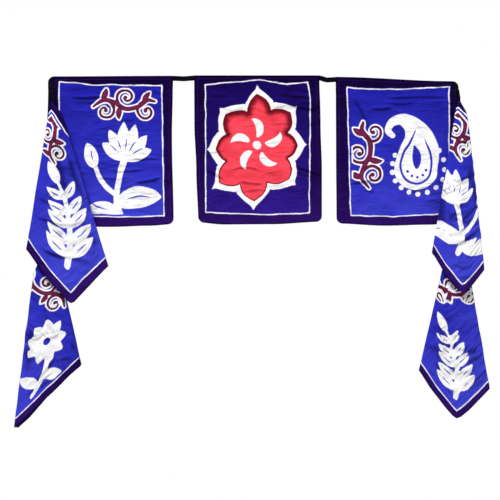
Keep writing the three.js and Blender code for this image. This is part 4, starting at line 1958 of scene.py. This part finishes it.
def drop_flags() -> list[DropFlag]:
    """Tables of the four flags that hang by a corner down the sides.

    Returns:
        The flags: upper and lower on the left, then on the right.
    """
    # pale=0.25 paints each of these flags paler all over, through the painted light gradient
    return [
        DropFlag(
            name="cloth_left_upper", node="flag_left_upper", corner=(-411, NEAR_PLANE, -49),
            cut=(256, 300), station=36, narrowing=0.95, facing=1, seed=41,
            folds=(
                Fold("sewn edge", (0, 0), (0, 0), 1), Fold("first fold", (7, 0), (10.7, 0), 1),
                Fold("first fold", (7, 5), (10.7, 6), 1),
                Fold("left fold", (-9.5, 5), (-9.2, 6), 0.99),
                Fold("left fold", (-9.5, 13), (-9.2, 13), 0.98),
                Fold("front", (3, 22), (-3, 18), 1.02), Fold("front", (17, 26), (4, 21), 1.05),
                Fold("front", (28, 22), (12, 19), 1.05),
                Fold("right fold", (36, 15), (19.2, 15), 1.06),
                Fold("right fold", (36, 10), (19.2, 10), 1.06),
                Fold("free edge", (26, 9.5), (-9, 9.8), 1),
            ),
            pinches=(
                Pinch(((-441, -336), (-418, -350), (-397, -360), (-367, -364), (-330, -376),
                       (-300, -388)), 2.2),
                Pinch(((-452, -280), (-418, -290), (-382, -298), (-330, -292)), 2.0),
                Pinch(((-440, -245), (-420, -252), (-400, -264)), 1.4),
                Pinch(((-432, -350), (-408, -356), (-380, -362)), 1.2),
                Pinch(((-412, -282), (-396, -306), (-382, -332)), 1.4, 5),
                Pinch(((-374, -302), (-352, -292), (-330, -278)), 1.2),
                Pinch(((-342, -312), (-328, -326), (-314, -344)), 1.4, 4),
                Pinch(((-402, -130), (-394, -180), (-380, -236)), 1.8, 8),
                Pinch(((-376, -160), (-362, -204), (-346, -246)), 1.6, 7),
                Pinch(((-360, -280), (-342, -300), (-326, -330)), 1.2, 5)),
            drawing=Drawing(frame=cut_frame(256, 300, 51, 17, 17),
                            wax=fern().at(-10, -180, 0.98, -49),
                            dyed=scroll().at(80, -60, 0.8, 44), pale=0.25, seed=34),
        ),
        DropFlag(
            name="cloth_left_lower", node="flag_left_lower", corner=(-420, FAR_PLANE, -332),
            cut=(250, 294), station=70, narrowing=0.93, facing=1, seed=42,
            folds=(
                Fold("sewn edge", (-3.5, 0), (-3.5, 0), 1),
                Fold("right fold", (24, 0), (15.2, 0), 0.95),
                Fold("right fold", (24, 14), (15.2, 17), 0.95),
                Fold("front", (2, 18), (4, 20), 0.97),
                Fold("left fold", (-22, 14), (-10.6, 17), 1.02),
                Fold("left fold", (-22, 9), (-10.6, 12), 1),
                Fold("inner fold", (12, 9), (11, 11.5), 0.85),
                Fold("inner fold", (12, 5), (11, 6), 0.85),
                Fold("free edge", (0, 4.8), (-6, 5.8), 0.88),
            ),
            pinches=(
                Pinch(((-458, -506), (-444, -518), (-430, -528)), 1.6),
                Pinch(((-430, -528), (-412, -524), (-392, -516)), 1.3),
                Pinch(((-434, -612), (-422, -602), (-408, -592)), 1.6),
                Pinch(((-376, -520), (-370, -534), (-364, -548)), 1.4),
                Pinch(((-424, -470), (-412, -500), (-398, -524)), 1.5, 5),
                Pinch(((-404, -566), (-424, -590), (-446, -620)), 1.8, 5),
                Pinch(((-446, -500), (-452, -540), (-460, -590)), 1.3, 7),
                Pinch(((-462, -636), (-436, -622), (-408, -604)), 1.1, 4)),
            drawing=Drawing(frame=cut_frame(250, 294, 52, 15, 15),
                            wax=blossom().at(-26, -138, 0.92, -50, mirror=True),
                            dyed=scroll().at(54, -72, 0.86, -6), pale=0.25, seed=35),
        ),
        DropFlag(
            name="cloth_right_upper", node="flag_right_upper", corner=(403, NEAR_PLANE, -46),
            cut=(252, 296), station=36, narrowing=0.97, facing=-1, seed=43,
            folds=(
                Fold("sewn edge", (0, 0), (0, 0), 1), Fold("first fold", (-5, 0), (-6.7, 0), 1),
                Fold("first fold", (-5, 4.4), (-6.7, 4.4), 1),
                Fold("second fold", (4, 4.4), (6, 4.4), 1),
                Fold("second fold", (4, 8.8), (6, 8.8), 1),
                Fold("left fold", (-13, 8.8), (-10, 8.8), 0.98),
                Fold("left fold", (-13, 17), (-10, 20), 0.97),
                Fold("front", (6, 25), (-0.5, 25), 1.04),
                Fold("right fold", (26, 21), (8.4, 22), 0.99),
                Fold("right fold", (26, 16.8), (8.4, 17.6), 0.99),
                Fold("inner fold", (15, 16.8), (-8, 17.2), 0.9),
                Fold("inner fold", (15, 12.2), (-8, 13), 0.9),
                Fold("free edge", (22, 12.2), (7, 12.9), 0.92),
            ),
            pinches=(
                Pinch(((386, -342), (404, -332), (424, -320), (446, -304)), 2.2),
                Pinch(((384, -322), (400, -312), (420, -300)), 1.5),
                Pinch(((382, -282), (412, -292), (446, -304)), 1.7),
                Pinch(((410, -366), (430, -356), (452, -344)), 1.6),
                Pinch(((388, -206), (404, -214), (424, -212)), 1.2),
                Pinch(((372, -226), (366, -262), (360, -300)), 1.6, 7),
                Pinch(((420, -180), (430, -220), (440, -262)), 1.5, 7),
                Pinch(((392, -378), (412, -384), (434, -376)), 1.0, 4)),
            drawing=Drawing(frame=cut_frame(252, 296, 53, 14.5, 14.5),
                            wax=lotus_spray().at(20, -170, 0.9, 43),
                            dyed=scroll().at(-84, -60, 0.84, -47, mirror=True),
                            pale=0.25, seed=36),
        ),
        DropFlag(
            name="cloth_right_lower", node="flag_right_lower", corner=(398, FAR_PLANE, -328),
            cut=(244, 286), station=70, narrowing=0.98, facing=-1, seed=44,
            folds=(
                Fold("sewn edge", (0, 0), (0, 0), 1), Fold("first fold", (-6, 0), (-9, 0), 1),
                Fold("first fold", (-6, 4.4), (-9, 4.4), 1),
                Fold("second fold", (0, 4.4), (-1, 4.4), 0.97),
                Fold("second fold", (0, 8.8), (-1, 8.8), 0.97),
                Fold("left fold", (-25, 8.8), (-15.8, 8.8), 0.92),
                Fold("left fold", (-25, 15), (-15.8, 18), 0.92),
                Fold("front", (-2, 21), (-2, 23), 0.985),
                Fold("right fold", (22, 17), (12.6, 18), 0.955),
                Fold("right fold", (22, 12.4), (12.6, 13.4), 0.95),
                Fold("free edge", (4, 12), (-14, 13.2), 0.9),
            ),
            pinches=(
                Pinch(((356, -602), (376, -592), (398, -582)), 2.0),
                Pinch(((352, -586), (368, -578), (384, -572)), 1.5),
                Pinch(((332, -536), (350, -544), (368, -550)), 1.7),
                Pinch(((380, -536), (412, -546), (446, -550)), 1.8),
                Pinch(((398, -592), (424, -600), (452, -610)), 1.6),
                Pinch(((410, -574), (430, -566), (452, -556)), 2.0),
                Pinch(((404, -560), (420, -553), (440, -546)), 1.4),
                Pinch(((366, -500), (372, -540), (360, -570)), 1.2, 6),
                Pinch(((420, -624), (438, -616), (456, -606)), 1.0)),
            drawing=Drawing(frame=cut_frame(244, 286, 54, 15, 14),
                            wax=fern().at(34, -191, 0.84, 45, mirror=True),
                            dyed=scroll().at(-60, -93, 0.76, 30, mirror=True),
                            pale=0.25, seed=37),
        ),
    ]


@dataclass
class Studio:
    """White studio: camera square to the garland, soft lights, pale floor and plain surround."""

    middle: Place = (-0.014, -0.01, -0.35)
    view_width: float = 1.0
    distance: float = 3.4
    sensor: float = 36.0
    sky: float = 0.36
    floor_drop: float = 2.1
    floor_radius: float = 1.3
    floor_grey: float = 0.93

    def camera(self) -> None:
        """Camera at the photograph's angle."""
        data = bpy.data.cameras.new("camera")
        data.sensor_width = self.sensor
        data.lens = self.sensor * self.distance / self.view_width
        camera = bpy.data.objects.new("camera", data)
        camera.location = (self.middle[0], self.middle[1] - self.distance, self.middle[2])
        camera.rotation_euler = (RIGHT_ANGLE, 0, 0)
        bpy.context.scene.collection.objects.link(camera)
        bpy.context.scene.camera = camera

    def light(self, name: str, place: Place, size: float, power: float) -> None:
        """Square soft light aimed at the middle of the garland.

        Args:
            name: Name of the light.
            place: Where it stands, in metres.
            size: Its side, in metres.
            power: Its power, in watts.
        """
        data = bpy.data.lights.new(name, "AREA")
        data.energy = power
        data.size = size
        lamp = bpy.data.objects.new(name, data)
        lamp.location = place
        toward = [m - p for m, p in zip(self.middle, place)]
        flat = math.hypot(toward[0], toward[1])
        lamp.rotation_euler = (math.atan2(flat, -toward[2]), 0, math.atan2(-toward[0], toward[1]))
        bpy.context.scene.collection.objects.link(lamp)

    def world(self) -> None:
        """White surround, softer as a light than it looks."""
        world = bpy.data.worlds.new("studio")
        world.use_nodes = True
        tree = world.node_tree
        back = tree.nodes["Background"]
        back.inputs["Color"].default_value = (1, 1, 1, 1)
        back.inputs["Strength"].default_value = self.sky
        seen = tree.nodes.new("ShaderNodeBackground")
        seen.inputs["Color"].default_value = (1, 1, 1, 1)
        ray = tree.nodes.new("ShaderNodeLightPath")
        choose = tree.nodes.new("ShaderNodeMixShader")
        tree.links.new(ray.outputs["Is Camera Ray"], choose.inputs[0])
        tree.links.new(back.outputs[0], choose.inputs[1])
        tree.links.new(seen.outputs[0], choose.inputs[2])
        tree.links.new(choose.outputs[0], tree.nodes["World Output"].inputs["Surface"])
        bpy.context.scene.world = world

    def floor(self) -> None:
        """Plain pale round floor, a door's height below the tape."""
        deselect()
        bpy.ops.mesh.primitive_circle_add(
            vertices=96, radius=self.floor_radius, fill_type="NGON",
            location=(0, 0, -self.floor_drop))
        bpy.ops.object.transform_apply(location=True)
        ground = bpy.context.object
        ground.name = "floor"
        pale = Wiring("pale_floor")
        pale.feed(pale.shader.inputs["Base Color"], (self.floor_grey,) * 3)
        pale.shader.inputs["Roughness"].default_value = 0.9
        ground.data.materials.append(pale.material)

    def build(self) -> None:
        """Sets up the camera, lights, floor and surround."""
        bpy.context.scene.view_settings.view_transform = "Standard"
        self.camera()
        self.world()
        self.floor()
        self.light("key", (-1.8, -3.0, 4.15), 1.3, 365)
        self.light("fill", (1.7, -2.6, -1.2), 1.4, 14)


def main() -> None:
    """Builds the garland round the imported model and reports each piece."""
    logging.basicConfig(level=logging.INFO, format="%(name)s: %(message)s")
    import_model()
    cotton = DyedCotton("royal_cotton")
    indigo = DyedCotton(
        "indigo_cotton", field="220f6c", field_deep="150551", field_pale="331b8c",
        second="ff4658", second_deep="74101f")
    HeadingTape().build(TapeCotton())
    for flag in face_flags():
        flag.build(indigo if flag.slot is Slot.INDIGO else cotton)
    for flag in drop_flags():
        flag.build(cotton)
    Studio().build()


if __name__ == "__main__":
    main()
